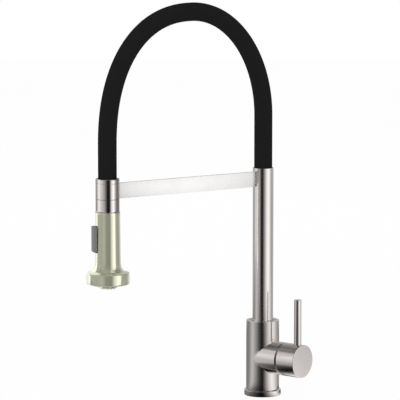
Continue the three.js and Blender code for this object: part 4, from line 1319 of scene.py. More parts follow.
@dataclass
class HoseArch:
    """The silicone sleeve that bows over from the column to the dock, and what runs in it."""

    sleeve_radius: float = 12.2 * MM
    sleeve_wall: float = 2.9 * MM
    crest_reach: float = 115.5 * MM
    column_straight: float = 70.5 * MM
    dock_straight: float = 44.3 * MM
    dock_power: float = 2.25
    steps: int = 44
    hose_radius: float = 6.2 * MM
    hose_wall: float = 2 * MM
    coil_radius: float = 7.95 * MM
    wire_radius: float = 0.9 * MM
    coil_pitch: float = 5.2 * MM
    coil_steps: int = 14
    sleeve_depth: float = 21 * MM
    sleeve_facets: int = 96
    hose_facets: int = 32

    def line(self, column_end: float, dock_end: float) -> list[Vector]:
        """Lays the centre line of the hose.

        Args:
            column_end: Height of its end in the column.
            dock_end: Height of its end in the dock.

        Returns:
            Its points, from the column over the crest to the dock.
        """
        column_top = Extent.of("column_tube").high.z
        crest = Extent.of("silicone_hose").high.z - self.sleeve_radius
        reach = -DOCK_AXIS.y
        start, end = column_top + self.column_straight, column_top + self.dock_straight
        points = [Vector((0, 0, column_end))]
        for step in range(self.steps + 1):
            angle = step / self.steps * QUARTER_TURN
            across, up = 1 - math.cos(angle), math.sin(angle)
            points.append(Vector((0, -self.crest_reach * across, start + (crest - start) * up)))
        power = 2 / self.dock_power
        for step in range(self.steps - 1, -1, -1):
            angle = step / self.steps * QUARTER_TURN
            across, up = max(math.cos(angle), 0.0) ** power, math.sin(angle) ** power
            points.append(Vector((
                0, -self.crest_reach - (reach - self.crest_reach) * across, end + (crest - end) * up)))
        points.append(Vector((0, -reach, dock_end)))
        return points

    def curve(self, points: Sequence[Vector]) -> bpy.types.Object:
        """Makes a curve object through points.

        Args:
            points: The points.

        Returns:
            The curve object.
        """
        data = bpy.data.curves.new("line", "CURVE")
        data.dimensions = "3D"
        spline = data.splines.new("POLY")
        spline.points.add(len(points) - 1)
        for place, point in zip(spline.points, points):
            place.co = (*point, 1.0)
        return in_scene("line", data)

    def tube(
        self, points: Sequence[Vector], radius: float, wall: float, facets: int, finish: Finish
    ) -> bpy.types.Mesh:
        """Sweeps a tube along points and gives it its wall.

        Args:
            points: The centre line.
            radius: The outer radius.
            wall: The thickness of the wall, inwards.
            facets: How many sides it has.
            finish: Its finish.

        Returns:
            The closed mesh with a UV map: turns across, metres along.
        """
        mesh = swept_recipe(finish).make(self.curve(points), {"Radius": radius, "Facets": facets})
        face = mesh.polygons[0]
        away = face.center - points[0]
        outward = face.normal.dot(Vector((away.x, away.y, 0))) > 0
        around, along = (
            [item.value for item in mesh.attributes[name].data] for name in ("around", "along"))
        map_round(mesh, list(zip(around, along)))
        for name in ("along", "around"):
            mesh.attributes.remove(mesh.attributes[name])
        if not outward:
            mesh.flip_normals()
        return walled(mesh, wall)

    def build(self) -> None:
        """Builds the sleeve, the spring and the inner hose."""
        column_end = Extent.of("column_tube").high.z - self.sleeve_depth
        dock_end = Extent.of("collar_ferrule").low.z
        line = self.line(column_end, dock_end)
        sleeve = self.tube(line, self.sleeve_radius, self.sleeve_wall, self.sleeve_facets, SILICONE)
        deliver("silicone_sleeve", sleeve, SILICONE, Slot.SILICONE, Body.SPOUT, "silicone_hose")

        length = sum((b - a).length for a, b in zip(line, line[1:]))
        spring = coil_recipe(SPRING_STEEL).make(self.curve(line), {
            "Coil Radius": self.coil_radius, "Wire Radius": self.wire_radius,
            "Turns": length / self.coil_pitch, "Steps": self.coil_steps})
        deliver("wound_arch_spring", spring, SPRING_STEEL, Slot.STEEL, Body.SPOUT, "arch_spring")

        hose = Extent.of("pull_hose")
        inner = self.tube(
            self.line(hose.low.z, Extent.of("hose_lead").high.z + SEAT_GAP),
            self.hose_radius, self.hose_wall, self.hose_facets, NYLON_BRAID)
        deliver("braided_hose", inner, NYLON_BRAID, Slot.BRAID, Body.SPOUT, "pull_hose")


@dataclass
class Lead:
    """The stretch of hose that comes out of the dock as the head is pulled down."""

    radius: float = 6.2 * MM
    wall: float = 2 * MM
    rows: int = 120
    facets: int = 48

    def build(self) -> None:
        """Builds the stretch so that its braid is true to size when it is pulled out."""
        room = Extent.of("hose_lead")
        low, high = room.low.z, room.high.z
        travel = joint("pull_down")["range_m"][1]
        heights = [low + (high - low) * row / self.rows for row in range(self.rows + 1)]
        points, faces, places = [], [], []
        for height in heights:
            share = (high - height) / (high - low)
            pulled = height - travel * share * share * (3 - 2 * share)
            for step in range(self.facets):
                angle = 2 * math.pi * step / self.facets
                points.append((self.radius * math.cos(angle), self.radius * math.sin(angle), height))
                places.append((step / self.facets, pulled))
        for row in range(self.rows):
            for step in range(self.facets):
                after = (step + 1) % self.facets
                here, above = row * self.facets, (row + 1) * self.facets
                faces.append((here + step, here + after, above + after, above + step))
        mesh = bpy.data.meshes.new("lead")
        mesh.from_pydata([tuple(AT_DOCK @ Vector(point)) for point in points], [], faces)
        map_round(mesh, places)
        piece = dressed("pull_down_lead", walled(mesh, self.wall), NYLON_BRAID)
        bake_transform(piece)
        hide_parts("hose_lead")


@dataclass
class Dock:
    """The flat arm, the collar at its end and the lip on top of the collar."""

    arm_edge: float = 0.3 * MM
    tenon_thickness: float = 3 * MM
    tenon_height: float = 13 * MM
    collar_bore: float = 13.3 * MM
    collar_spigot: float = 13.9 * MM
    collar_passage: float = 7 * MM
    shelf: float = 3 * MM
    lip_bore: float = 12.5 * MM
    lip_spigot: float = 13.6 * MM
    lip_bevel: float = 0.9 * MM

    def arm(self) -> None:
        """Builds the bar, with a tenon at each end."""
        room = Extent.of("dock_arm")
        column = Extent.of("column_tube").radius + SEAT_GAP
        collar = Extent.of("dock_collar").radius + SEAT_GAP
        near, far = -column, DOCK_AXIS.y + collar
        bar = loose_object(block((room.low.x, far, room.low.z), (room.high.x, near, room.high.z)))
        mesh = outlined(bar, self.arm_edge)
        half, tall, middle = self.tenon_thickness / 2, self.tenon_height / 2, room.middle.z
        tenon = block((-half, room.low.y, middle - tall), (half, room.high.y, middle + tall))
        mesh = combined(mesh, [tenon], "UNION")
        deliver("docking_arm", mesh, LIT_ARM_NICKEL, Slot.NICKEL, Body.SPOUT, "dock_arm")

    def collar(self) -> None:
        """Builds the collar that the connector docks into."""
        room = Extent.of("dock_collar")
        radius, low, top = room.radius, room.low.z, room.high.z
        shelf = Extent.of("collar_ferrule").low.z - SEAT_GAP
        bore, spigot, passage = self.collar_bore, self.collar_spigot, self.collar_passage
        mesh = turned([
            (bore, low, BROKEN), (radius, low, 0.4 * MM), (radius, top, 0.12 * MM),
            (spigot, top, FINE), (spigot, shelf, 0), (passage, shelf, SOFT),
            (passage, shelf - self.shelf, SOFT), (bore, shelf - self.shelf, 0)], AT_DOCK)
        mesh = combined(mesh, [tenon_slot(DOCK_AXIS.y, DOCK_AXIS.y + radius + CUT_SPARE)])
        deliver("docking_collar", mesh, DOCK_NICKEL, Slot.NICKEL, Body.SPOUT, "dock_collar")

    def ferrule(self) -> None:
        """Builds the lip that holds the sleeve in the collar."""
        room = Extent.of("collar_ferrule")
        radius, low, top, bevel = room.radius, room.low.z, room.high.z, self.lip_bevel
        bore, spigot, seat = self.lip_bore, self.lip_spigot, Extent.of("dock_collar").high.z + SEAT_GAP
        mesh = turned([
            (bore, low, FINE), (spigot, low, FINE), (spigot, seat, 0), (radius, seat, 0.12 * MM),
            (radius, top - bevel, 0.5 * MM), (radius - bevel, top, 0.4 * MM), (bore, top, SOFT)],
            AT_DOCK)
        deliver("ferrule_lip", mesh, DOCK_NICKEL, Slot.NICKEL, Body.SPOUT, "collar_ferrule")

    def build(self) -> None:
        """Builds every piece of the dock."""
        self.arm()
        self.collar()
        self.ferrule()


@dataclass
class Connector:
    """The ring on the end of the hose, with the plug that goes up into the dock."""

    neck_bore: float = 4.5 * MM
    neck_radius: float = 8.2 * MM
    flange_radius: float = 10.5 * MM
    flange_height: float = 3 * MM
    neck_length: float = 12 * MM
    plug_radius: float = 12.8 * MM
    plug_taper: float = 1.2 * MM
    plug_height: float = 3.1 * MM
    hose_bore: float = 8 * MM

    def build(self) -> None:
        """Builds the ring."""
        room = Extent.of("connector_ring")
        radius, low, plug_top = room.radius, room.low.z, room.high.z
        top, bottom = plug_top - self.plug_height, low + self.neck_length
        floor = Extent.of("hose_lead").low.z - SEAT_GAP
        mesh = turned([
            (self.neck_bore, low, SOFT), (self.flange_radius, low, BROKEN),
            (self.flange_radius, low + self.flange_height, SOFT),
            (self.neck_radius, low + self.flange_height, 0), (self.neck_radius, bottom, 0),
            (radius, bottom, 0.4 * MM), (radius, top, 0.15 * MM), (self.plug_radius, top, 0),
            (self.plug_radius - self.plug_taper, plug_top, 0.4 * MM), (self.hose_bore, plug_top, SOFT),
            (self.hose_bore, floor, 0), (self.neck_bore, floor, 0)], AT_DOCK)
        deliver("connector_ring_turned", mesh, DOCK_NICKEL, Slot.NICKEL, Body.HOSE_END, "connector_ring")


@dataclass
class SprayHead:
    """The champagne head: its shell, face plate, nozzle dome, nozzles, aerator and mode rocker."""

    shell_top_radius: float = 16.35 * MM
    waist_radius: float = 16.95 * MM
    shell_wall: float = 2.1 * MM
    roof: float = 3.5 * MM
    roof_bore: float = 8.5 * MM
    flare_reach: float = 8.5 * MM
    flare_drop: float = 13.6 * MM
    rim_height: float = 15.4 * MM
    rim_corner: float = 2 * MM
    rim_wall: float = 2.6 * MM
    shell_edge: float = 0.4 * MM
    window_gap: float = 0.2 * MM
    window_end_gap: float = 1.1 * MM
    rocker_width: float = 16 * MM
    rocker_corner: float = 3 * MM
    rocker_face: float = 20.1 * MM
    rocker_back: float = 15.5 * MM
    finger_tip: float = 2.6 * MM
    rocker_edge: float = 0.7 * MM
    pivot_reach: float = 10.5 * MM
    nozzle_count: int = 10
    nozzle_circle: float = 8.4 * MM
    nozzle_round: float = 3.5 * MM
    nozzle_wall: float = 1.8 * MM
    nub_radius: float = 0.9 * MM
    nub_taper: float = 0.72
    nub_root: float = 0.6 * MM
    nub_gap: float = 0.3 * MM
    plate_bore: float = 13.3 * MM
    dome_radius: float = 13 * MM
    dome_flange: float = 2 * MM
    mat_radius: float = 10.9 * MM
    mat_thickness: float = 1.5 * MM
    aerator_radius: float = 4.4 * MM
    aerator_gap: float = 0.3 * MM
    aerator_recess: float = 0.8 * MM
    aerator_lip: float = 1 * MM
    lug: Corner = (3.7 * MM, 8.5 * MM, 5 * MM)
    finger: Corner = (1.2 * MM, 9.5 * MM, 1.3 * MM)
    pin_bore: float = 1.15 * MM
    pin_half: float = 5 * MM

    def rocker_outline(self, gap: float = 0.0, end_gap: float = 0.0) -> list[Point]:
        """The outline of the rocker, or of the window round it.

        Args:
            gap: How far it stands off the rocker's sides.
            end_gap: How far it stands off the rocker's ends.

        Returns:
            The points of the outline.
        """
        room = Extent.of("mode_rocker")
        width, length = self.rocker_width, room.high.z - room.low.z
        return rounded_rectangle(width + 2 * gap, length + 2 * end_gap, self.rocker_corner + gap)

    def at_rocker(self) -> Matrix:
        """The frame of the rocker: on the spray axis at its height, with -Y out through its face.

        Returns:
            The frame.
        """
        axis = Vector(joint("rocker_tilt")["axis"])
        turn = Matrix.Rotation(math.atan2(axis.y, axis.x), 4, "Z")
        return Matrix.Translation((DOCK_AXIS.x, DOCK_AXIS.y, Extent.of("mode_rocker").middle.z)) @ turn

    def facing(self) -> Matrix:
        """Stands an outline upright at the rocker, so that its Z runs out from the spray axis."""
        return self.at_rocker() @ Matrix.Rotation(QUARTER_TURN, 4, "X")

    def shell(self) -> None:
        """Builds the shell, which flares out to a wide rim, and cuts the window for the rocker."""
        room = Extent.of("spray_shell")
        rim, bottom, top = room.radius, room.low.z, room.high.z
        rim_top = bottom + self.rim_height
        waist = rim_top + self.flare_drop
        bore, rim_bore = self.shell_top_radius - self.shell_wall, rim - self.rim_wall
        reach, drop, corner = self.flare_reach, self.flare_drop, self.rim_corner
        flare = arc((self.waist_radius + reach, waist), (reach, drop), 180, 270, 20)
        upper = arc((rim - corner, rim_top - corner), (corner, corner), 90, 0, 10)
        lower = arc((rim - corner, bottom + corner), (corner, corner), 0, -90, 10)
        mesh = turned(
            [(bore, top - self.roof, 0), (self.roof_bore, top - self.roof, 0), (self.roof_bore, top, 0),
             (self.shell_top_radius, top, self.shell_edge)] + flare + upper + lower
            + [(rim_bore, bottom, BROKEN), (rim_bore, rim_top - corner - self.rim_wall, 0),
               (bore, waist - self.shell_wall, 0)], AT_DOCK)
        window = prism(
            self.rocker_outline(self.window_gap, self.window_end_gap), bore / 2, rim, self.facing())
        mesh = combined(mesh, [window])
        deliver("spray_head_shell", mesh, CHAMPAGNE, Slot.CHAMPAGNE, Body.HEAD, "spray_shell")

    def face(self) -> None:
        """Builds the plate inside the rim and the dome that the nozzles come through."""
        plate = Extent.of("face_plate")
        mesh = turned([
            (self.plate_bore, plate.low.z, SOFT), (plate.radius, plate.low.z, BROKEN),
            (plate.radius, plate.high.z, 0), (self.plate_bore, plate.high.z, 0)], AT_DOCK)
        deliver("rim_face_plate", mesh, CHAMPAGNE, Slot.CHAMPAGNE, Body.HEAD, "face_plate")

        room = Extent.of("nozzle_dome")
        low, top, flange = room.low.z, room.high.z, room.radius
        radius, mouth = self.dome_radius, self.aerator_radius + self.aerator_gap
        shoulder, floor = top - self.dome_flange, low + self.nozzle_wall
        chamber, bend = radius - self.nozzle_wall, self.nozzle_round
        mesh = turned(
            [(mouth, low, 0.25 * MM)] + arc((radius - bend, low + bend), (bend, bend), -90, 0, 12)
            + [(radius, shoulder, 0), (flange, shoulder, SOFT), (flange, top, 0), (chamber, top, 0),
               (chamber, floor, 0), (mouth, floor, 0)], AT_DOCK)
        holes = []
        for index in range(self.nozzle_count):
            angle, circle = 2 * math.pi * index / self.nozzle_count, self.nozzle_circle
            spot = AT_DOCK @ Matrix.Translation((circle * math.cos(angle), circle * math.sin(angle), 0))
            hole = self.nub_radius + self.nub_gap
            holes.append(rod(hole, low - CUT_SPARE, floor + CUT_SPARE, spot, PIN_STEPS))
        mesh = combined(mesh, holes)
        deliver("nozzle_dome_pressed", mesh, CHAMPAGNE, Slot.CHAMPAGNE, Body.HEAD, "nozzle_dome")

    def nozzles(self) -> None:
        """Builds the rubber mat with its nozzles, and the aerator in the middle."""
        room = Extent.of("nozzle_mat")
        low, top = room.low.z, room.high.z
        bottom, bore = top - self.mat_thickness, self.aerator_radius + self.aerator_gap
        mat = turned([
            (bore, bottom, FINE), (self.mat_radius, bottom, FINE), (self.mat_radius, top, FINE),
            (bore, top, FINE)], AT_DOCK)
        length = bottom - low + self.nub_root
        mesh = nozzle_recipe(NOZZLE_RUBBER).make(loose_object(mat), {
            "Count": self.nozzle_count, "Circle": self.nozzle_circle, "Foot": self.nub_radius,
            "Tip": self.nub_radius * self.nub_taper, "Bottom": low, "Length": length})
        mesh.set_sharp_from_angle(angle=SHARP_ANGLE)
        deliver("nozzle_mat_moulded", mesh, NOZZLE_RUBBER, Slot.RUBBER, Body.HEAD, "nozzle_mat")

        core = Extent.of("aerator")
        low, radius = core.low.z, core.radius
        face, inner = low + self.aerator_recess, radius - self.aerator_lip
        mesh = turned([
            (0, face, 0), (inner, face, FINE), (inner, low, 0.15 * MM), (radius, low, SOFT),
            (radius, core.high.z, FINE), (0, core.high.z, 0)], AT_DOCK, SMALL_STEPS)
        deliver("aerator_insert", mesh, GREY_PLASTIC, Slot.GREY_PLASTIC, Body.HEAD, "aerator")

    def rocker(self) -> None:
        """Builds the grey rocker with the lug and finger behind its plate."""
        place = self.at_rocker()
        plate = prism(self.rocker_outline(), self.rocker_back, self.rocker_face, self.facing())
        mesh = outlined(loose_object(plate), self.rocker_edge, 4, math.radians(60))
        wide, near, tall = self.lug
        lug = block((-wide, -self.rocker_back - CUT_SPARE, -tall), (wide, -near, tall), place)
        wide, root, tall = self.finger
        finger = block((-wide, -root, -tall), (wide, -self.finger_tip, tall), place)
        mesh = combined(mesh, [lug, finger], "UNION")
        pivot = Matrix.Translation((0, -self.pivot_reach, 0)) @ Matrix.Rotation(QUARTER_TURN, 4, "Y")
        bore = rod(self.pin_bore, -self.pin_half, self.pin_half, place @ pivot, PIN_STEPS)
        mesh = combined(mesh, [bore])
        deliver(
            "mode_rocker_moulded", mesh, ROCKER_PLASTIC, Slot.GREY_PLASTIC, Body.ROCKER, "mode_rocker")

    def build(self) -> None:
        """Builds every piece of the spray head that shows."""
        self.shell()
        self.face()
        self.nozzles()
        self.rocker()


@dataclass
class HiddenParts:
    """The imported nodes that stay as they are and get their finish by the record's slots."""

    def build(self) -> None:
        """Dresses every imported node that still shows."""
        slots = {row["node"]: row["material_slot"] for row in frame["record"]["subparts"]}
        for name, node in frame["nodes"].items():
            if node.hide_render:
                continue
            finish = SLOT_FINISHES[Slot(slots[name])]
            node.data.materials.clear()
            node.data.materials.append(material_of(finish))
            LOG.info("%s: packed node, %s", name, finish.name)


# ---- Studio ----


Loop = Callable[[float], Sequence[float]]
Level = Callable[[Board, bpy.types.NodeOutputs], Socket]
Stops = Mapping[float, float]


def ellipse(across: float, deep: float, height: float, aside: Point = (0.0, 0.0)) -> Loop:
    """Gives the edge of a flag as a level ellipse.

    Args:
        across: Its half width to the camera's right.
        deep: Its half width towards the camera.
        height: Its height.
        aside: Its middle, to the right and towards the camera.

    Returns:
        A function that turns a bearing in radians into a point.
    """
    return lambda angle: (aside[0] + across * math.sin(angle), aside[1] + deep * math.cos(angle), height)


def band(name: str, first: Loop, second: Loop, steps: int = 128) -> bpy.types.Mesh:
    """Builds a closed band of quads between two loops.

    Args:
        name: The mesh's name.
        first: The first loop.
        second: The second.
        steps: How many parts a full turn has.

    Returns:
        The mesh.
    """
    points = [loop(2 * math.pi * step / steps) for loop in (first, second) for step in range(steps)]
    mesh = bpy.data.meshes.new(name)
    mesh.from_pydata(points, [], ring_faces(steps))
    return mesh


def bearing_share(board: Board, x: Socket, y: Socket, spread: object = 1.0) -> Socket:
    """Works out a bearing from the camera as a share of a full turn.

    Args:
        board: The flag's board.
        x: The way to the camera's right.
        y: The way towards the camera.
        spread: How much wider the bearings are read.

    Returns:
        The share, which is a half straight towards the camera.
    """
    turn = board.math("MULTIPLY", board.math("ARCTAN2", x, y), spread)
    return board.span(turn, (-math.pi, math.pi), UNIT)


@dataclass(frozen=True)
class ShadeCard:
    """A round card on the floor that darkens what is seen of it, most at its middle."""

    name: str
    radius: float
    aside: Point
    darkest: float
    height: float
    core: float = 0.25

    def level(self, board: Board, split: bpy.types.NodeOutputs) -> Socket:
        """Grades the card from its middle out.

        Args:
            board: The card's board.
            split: The coordinates on the card.

        Returns:
            How much light it lets through.
        """
        x, y = (board.math("POWER", split[axis], 2.0) for axis in (0, 1))
        away = board.math("DIVIDE", board.math("SQRT", board.math("ADD", x, y)), self.radius)
        return board.span(away, (self.core, 1.0), (self.darkest, 1.0), True)


@dataclass(frozen=True)
class Lamp:
    """A square soft lamp that points at the middle of the object and shows in nothing glossy."""

    name: str
    place: Corner
    size: float
    power: float
    aim_height: float = 0.25

    def hang(self) -> None:
        """Hangs the lamp."""
        data = bpy.data.lights.new(self.name, "AREA")
        data.energy, data.size = self.power, self.size
        thing = in_scene(self.name, data)
        thing.location = self.place
        aim = Vector((0, DOCK_AXIS.y / 2, self.aim_height)) - thing.location
        thing.rotation_euler = aim.to_track_quat("-Z", "Y").to_euler()
        thing.visible_glossy = False


@dataclass
class Studio:
    """A white floor and surround, soft lamps, and grey flags that the metal shows against the white."""

    half_width: float = 1.2
    half_depth: float = 0.57
    top: float = 1.3
    above_heights: Point = (0.17, 0.3)
    top_heights: Point = (0.25, 0.95)
    ceiling: float = 0.1
    card_hole: float = 26 * MM
    card_height: float = -0.1 * MM
    pin_hole: float = 1 * MM
    head_sleeve: float = 36 * MM
    collar_sleeve: float = 18 * MM
    sleeve_bottom: float = 140 * MM
    sleeve_top: float = 320 * MM
    seam_drop: float = 2 * MM
    rim_spread: float = 1.26
    rim_blend: Point = (-2 * MM, 4 * MM)
    floor_hole: float = 18 * MM
    floor_radius: float = 6.0
    floor_height: float = -0.2 * MM
    floor_grain: float = 900.0
    floor_tones: Point = (0.86, 0.9)
    floor_white: float = 0.96
    soft_level: float = 0.78

    SHADE_CARDS: ClassVar[Sequence[ShadeCard]] = (
        ShadeCard("front_card", 80 * MM, (-30 * MM, 40 * MM), 0.28, -0.06 * MM),
        ShadeCard("rear_card", 46 * MM, (36 * MM, -28 * MM), 0.15, -0.03 * MM))
    LAMPS: ClassVar[Sequence[Lamp]] = (
        Lamp("key_lamp", (1.4, -2.2, 2.2), 1.6, 16.0),
        Lamp("fill_lamp", (-1.8, 1.2, 1.8), 1.8, 7.0))

    # How much of the white each flag lets through, by bearing in degrees from the camera, positive to
    # its right. Over 1, a soft panel there adds light of its own.
    RING: ClassVar[Stops] = {
        -180: 0.62, -145: 0.4, -88: 1.0, -45: 0.62, -18: 0.4, -9: 0.03, 3: 0.01, 11: 0.3, 32: 1.18,
        52: 1.3, 85: 0.78, 125: 0.42, 180: 0.62}
    RING_ABOVE: ClassVar[Stops] = {
        -180: 0.35, -150: 0.74, -90: 1.12, -30: 0.6, -9: 0.05, 4: 0.04, 32: 1.18, 52: 1.25, 130: 0.6,
        155: 0.7, 180: 0.35}
    RING_TOP: ClassVar[Stops] = {-180: 0.22, -90: 0.75, -30: 0.3, 0: 0.12, 45: 0.45, 100: 0.4, 180: 0.22}
    CARD: ClassVar[Stops] = {
        -180: 0.2, -110: 0.27, -75: 0.66, -30: 0.12, -12: 0.02, 2: 0.02, 17: 0.26, 45: 0.9, 62: 1.16,
        85: 0.85, 120: 0.36, 180: 0.2}
    # The sleeve of flags round the dock, at the spray head and at the collar.
    HEAD_SLEEVE: ClassVar[Stops] = {
        -180: 1.25, -84: 1.7, -80: 0.3, -40: 0.5, -14: 1.06, 20: 1.04, 30: 1.45, 46: 1.42, 58: 0.95,
        62: 0.27, 88: 0.46, 112: 1.1, 180: 1.2}
    COLLAR_SLEEVE: ClassVar[Stops] = {
        -180: 0.75, -72: 0.85, -49: 1.25, -22: 1.1, -3: 1.08, 4: 0.45, 13: 0.55, 19: 1.2, 26: 1.43,
        35: 1.28, 45: 0.62, 62: 0.36, 78: 0.5, 180: 0.75}

    def white_seen(self, board: Board) -> Socket:
        """Tells the rays that see the surround as plain white: those of the camera, gloss and glass.

        Args:
            board: The floor's or the world's board.

        Returns:
            1 for those rays, and 0 for the others.
        """
        rays = board.add("ShaderNodeLightPath").outputs
        direct = board.math("ADD", rays["Is Camera Ray"], rays["Is Glossy Ray"])
        return board.math("MINIMUM", board.math("ADD", direct, rays["Is Transmission Ray"]), 1.0)

    def floor(self) -> None:
        """Builds the floor, with a hole for what goes down through the worktop."""
        hole, edge, height = self.floor_hole, self.floor_radius, self.floor_height
        mesh = band("pale_floor", ellipse(hole, hole, height), ellipse(edge, edge, height))
        material, board, surface = new_material("pale_floor")
        grain = board.noise(board.add("ShaderNodeTexCoord").outputs["Object"], self.floor_grain)
        paint = board.blend(grain, *(rgba(WHITE[:3], tone) for tone in self.floor_tones))
        matt = board.add("ShaderNodeBsdfDiffuse", {"Color": paint})
        white = board.add("ShaderNodeEmission", {"Color": WHITE, "Strength": 1.0})
        seen = board.math("MULTIPLY", self.white_seen(board), self.floor_white)
        shown = board.add("ShaderNodeMixShader", {0: seen, 1: matt.outputs[0], 2: white.outputs[0]})
        board.tree.links.new(shown.outputs[0], surface)
        material.cycles.emission_sampling = "NONE"
        mesh.materials.append(material)
        in_scene("pale_floor", mesh)

    def flag(
        self, name: str, first: Loop, second: Loop, centre: Vector, turn: float, level: Level
    ) -> None:
        """Sets up one flag, which shows only in what is glossy and dims the white behind it.

        Args:
            name: The flag's name.
            first: One edge, with Y towards the camera and X to the camera's right.
            second: The other edge.
            centre: What it stands round.
            turn: The bearing of the camera.
            level: Works out from the split coordinates how much light it lets through.
        """
        mesh = band(name, first, second)
        material, board, surface = new_material(name)
        place = board.add("ShaderNodeTexCoord").outputs["Object"]
        share = level(board, board.add("ShaderNodeSeparateXYZ", {0: place}).outputs)
        through = board.add("ShaderNodeBsdfTransparent", {"Color": board.math("MINIMUM", share, 1.0)})
        extra = board.math("MAXIMUM", board.math("SUBTRACT", share, 1.0), 0.0)
        glow = board.add("ShaderNodeEmission", {"Color": WHITE, "Strength": extra})
        both = board.add("ShaderNodeAddShader", {0: through.outputs[0], 1: glow.outputs[0]})
        board.tree.links.new(both.outputs[0], surface)
        material.cycles.emission_sampling = "NONE"
        mesh.materials.append(material)
        thing = in_scene(name, mesh)
        thing.location = (centre.x, centre.y, 0)
        thing.rotation_euler.z = turn
        thing.scale.x = -1
        for rays in ("camera", "diffuse", "transmission", "volume_scatter", "shadow"):
            setattr(thing, f"visible_{rays}", False)

    def ring_level(self, board: Board, split: bpy.types.NodeOutputs) -> Socket:
        """Grades the ring of flags by bearing, and from the middle up.

        Args:
            board: The ring's board.
            split: The coordinates on the ring.

        Returns:
            How much light it lets through.
        """
        x = board.math("DIVIDE", split[0], self.half_width)
        y = board.math("DIVIDE", split[1], self.half_depth)
        where = bearing_share(board, x, y)
        level = board.ramp(where, self.RING)
        for stops, heights in ((self.RING_ABOVE, self.above_heights), (self.RING_TOP, self.top_heights)):
            share = board.span(split[2], heights, UNIT, True)
            level = board.blend(share, level, board.ramp(where, stops))
        return level

    def ceiling_level(self, board: Board, split: bpy.types.NodeOutputs) -> Socket:
        """Gives the ceiling one level all over, with a faint mottle."""
        mottle = board.noise(board.add("ShaderNodeTexCoord").outputs["Object"], 8.0)
        return board.span(mottle, UNIT, (self.ceiling * 0.95, self.ceiling * 1.05))

    def card_level(self, board: Board, split: bpy.types.NodeOutputs) -> Socket:
        """Grades the card on the floor by bearing."""
        return board.ramp(bearing_share(board, split[0], split[1]), self.CARD)

    def head_level(self, board: Board, split: bpy.types.NodeOutputs) -> Socket:
        """Grades the sleeve round the head by bearing, a little narrower at the rim.

        Args:
            board: The sleeve's board.
            split: The coordinates on the sleeve.

        Returns:
            How much light it lets through.
        """
        rim = Extent.of("spray_shell").low.z + SprayHead.rim_height
        heights = (rim + self.rim_blend[0], rim + self.rim_blend[1])
        wide = board.span(split[2], heights, (self.rim_spread, 1.0))
        return board.ramp(bearing_share(board, split[0], split[1], wide), self.HEAD_SLEEVE)

    def collar_level(self, board: Board, split: bpy.types.NodeOutputs) -> Socket:
        """Grades the sleeve round the collar by bearing."""
        return board.ramp(bearing_share(board, split[0], split[1]), self.COLLAR_SLEEVE)

    def flags(self, camera: bpy.types.Object) -> None:
        """Stands the flags round the faucet and the dock, and lays the cards round its foot.

        Args:
            camera: The camera that they are ranged round.
        """
        middle, column = DOCK_AXIS / 2, Vector((0, 0))
        view = camera.location.xy - middle
        turn = math.atan2(view.y, view.x) - QUARTER_TURN
        right, near = Vector((-view.y, view.x)).normalized(), view.normalized()
        wide, deep, tiny = self.half_width, self.half_depth, self.pin_hole
        upper = ellipse(wide, deep, self.top)
        self.flag("flag_ring", ellipse(wide, deep, 0.0), upper, middle, turn, self.ring_level)
        self.flag("flag_ceiling", ellipse(tiny, tiny, self.top), upper, middle, turn, self.ceiling_level)
        # The card ends at the foot of the ring, so that no ray is dimmed by both.
        outer = ellipse(wide, deep, self.card_height, (middle @ right, middle @ near))
        inner = ellipse(self.card_hole, self.card_hole, self.card_height)
        self.flag("floor_card", inner, outer, column, turn, self.card_level)
        for card in self.SHADE_CARDS:
            centre = right * card.aside[0] + near * card.aside[1]
            inner, outer = (ellipse(size, size, card.height) for size in (tiny, card.radius))
            self.flag(card.name, inner, outer, centre, turn, card.level)
        seam = Extent.of("spray_shell").high.z - self.seam_drop
        for name, size, low, high, level in (
                ("head_sleeve", self.head_sleeve, self.sleeve_bottom, seam, self.head_level),
                ("collar_sleeve", self.collar_sleeve, seam, self.sleeve_top, self.collar_level)):
            self.flag(name, ellipse(size, size, low), ellipse(size, size, high), DOCK_AXIS, turn, level)

    def world(self) -> None:
        """Sets the soft light all round, and the white that the camera, gloss and glass see."""
        world = bpy.data.worlds.new("soft_studio")
        bpy.context.scene.world = world
        world.use_nodes = True
        world.cycles.sampling_method = "NONE"
        world.node_tree.nodes.clear()
        board = Board(world.node_tree)
        soft, white = (
            board.add("ShaderNodeBackground", {"Color": WHITE, "Strength": strength}).outputs[0]
            for strength in (self.soft_level, 1.0))
        shown = board.add("ShaderNodeMixShader", {0: self.white_seen(board), 1: soft, 2: white})
        output = board.add("ShaderNodeOutputWorld")
        board.tree.links.new(shown.outputs[0], output.inputs[0])

    def build(self, camera: bpy.types.Object) -> None:
        """Builds the studio round the camera's view.

        Args:
            camera: The camera.
        """
        self.floor()
        self.flags(camera)
        self.world()
        for lamp in self.LAMPS:
            lamp.hang()
        bpy.context.scene.view_settings.view_transform = "Standard"


@dataclass
class Viewpoint:
    """Where the camera stands, and how it looks down on the faucet."""

    place: tuple[float, float, float] = (2.923741, -2.099108, 0.730523)
    bearing: float = 55.677
    pitch: float = 7.358
    lens: float = 242.3
    film_width: float = 36.0
    nearest: float = 0.05
    farthest: float = 40.0

    def build(self) -> bpy.types.Object:
        """Sets up the camera.

        Returns:
            The camera.
        """
        data = bpy.data.cameras.new("studio_camera")
        data.lens = self.lens
        data.sensor_width = self.film_width
        data.clip_start, data.clip_end = self.nearest, self.farthest
        camera = in_scene("studio_camera", data)
        bearing, pitch = math.radians(self.bearing), math.radians(self.pitch)
        aim = Vector((
            -math.sin(bearing) * math.cos(pitch), math.cos(bearing) * math.cos(pitch), -math.sin(pitch)))
        camera.location = self.place
        camera.rotation_euler = aim.to_track_quat("-Z", "Y").to_euler()
        bpy.context.scene.camera = camera
        return camera


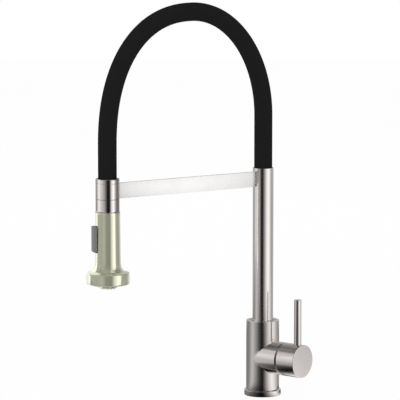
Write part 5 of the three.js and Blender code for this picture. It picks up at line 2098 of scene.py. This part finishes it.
def main() -> None:
    """Builds the camera, the faucet and the studio in order."""
    logging.basicConfig(level=logging.INFO, format="%(name)s: %(message)s")
    camera = Viewpoint().build()
    for assembly in (Mixer(), Handle(), Column(), HoseArch(), Lead(), Dock(), Connector(), SprayHead()):
        LOG.info("building %s", type(assembly).__name__)
        assembly.build()
    HiddenParts().build()
    Studio().build(camera)


if __name__ == "__main__":
    main()
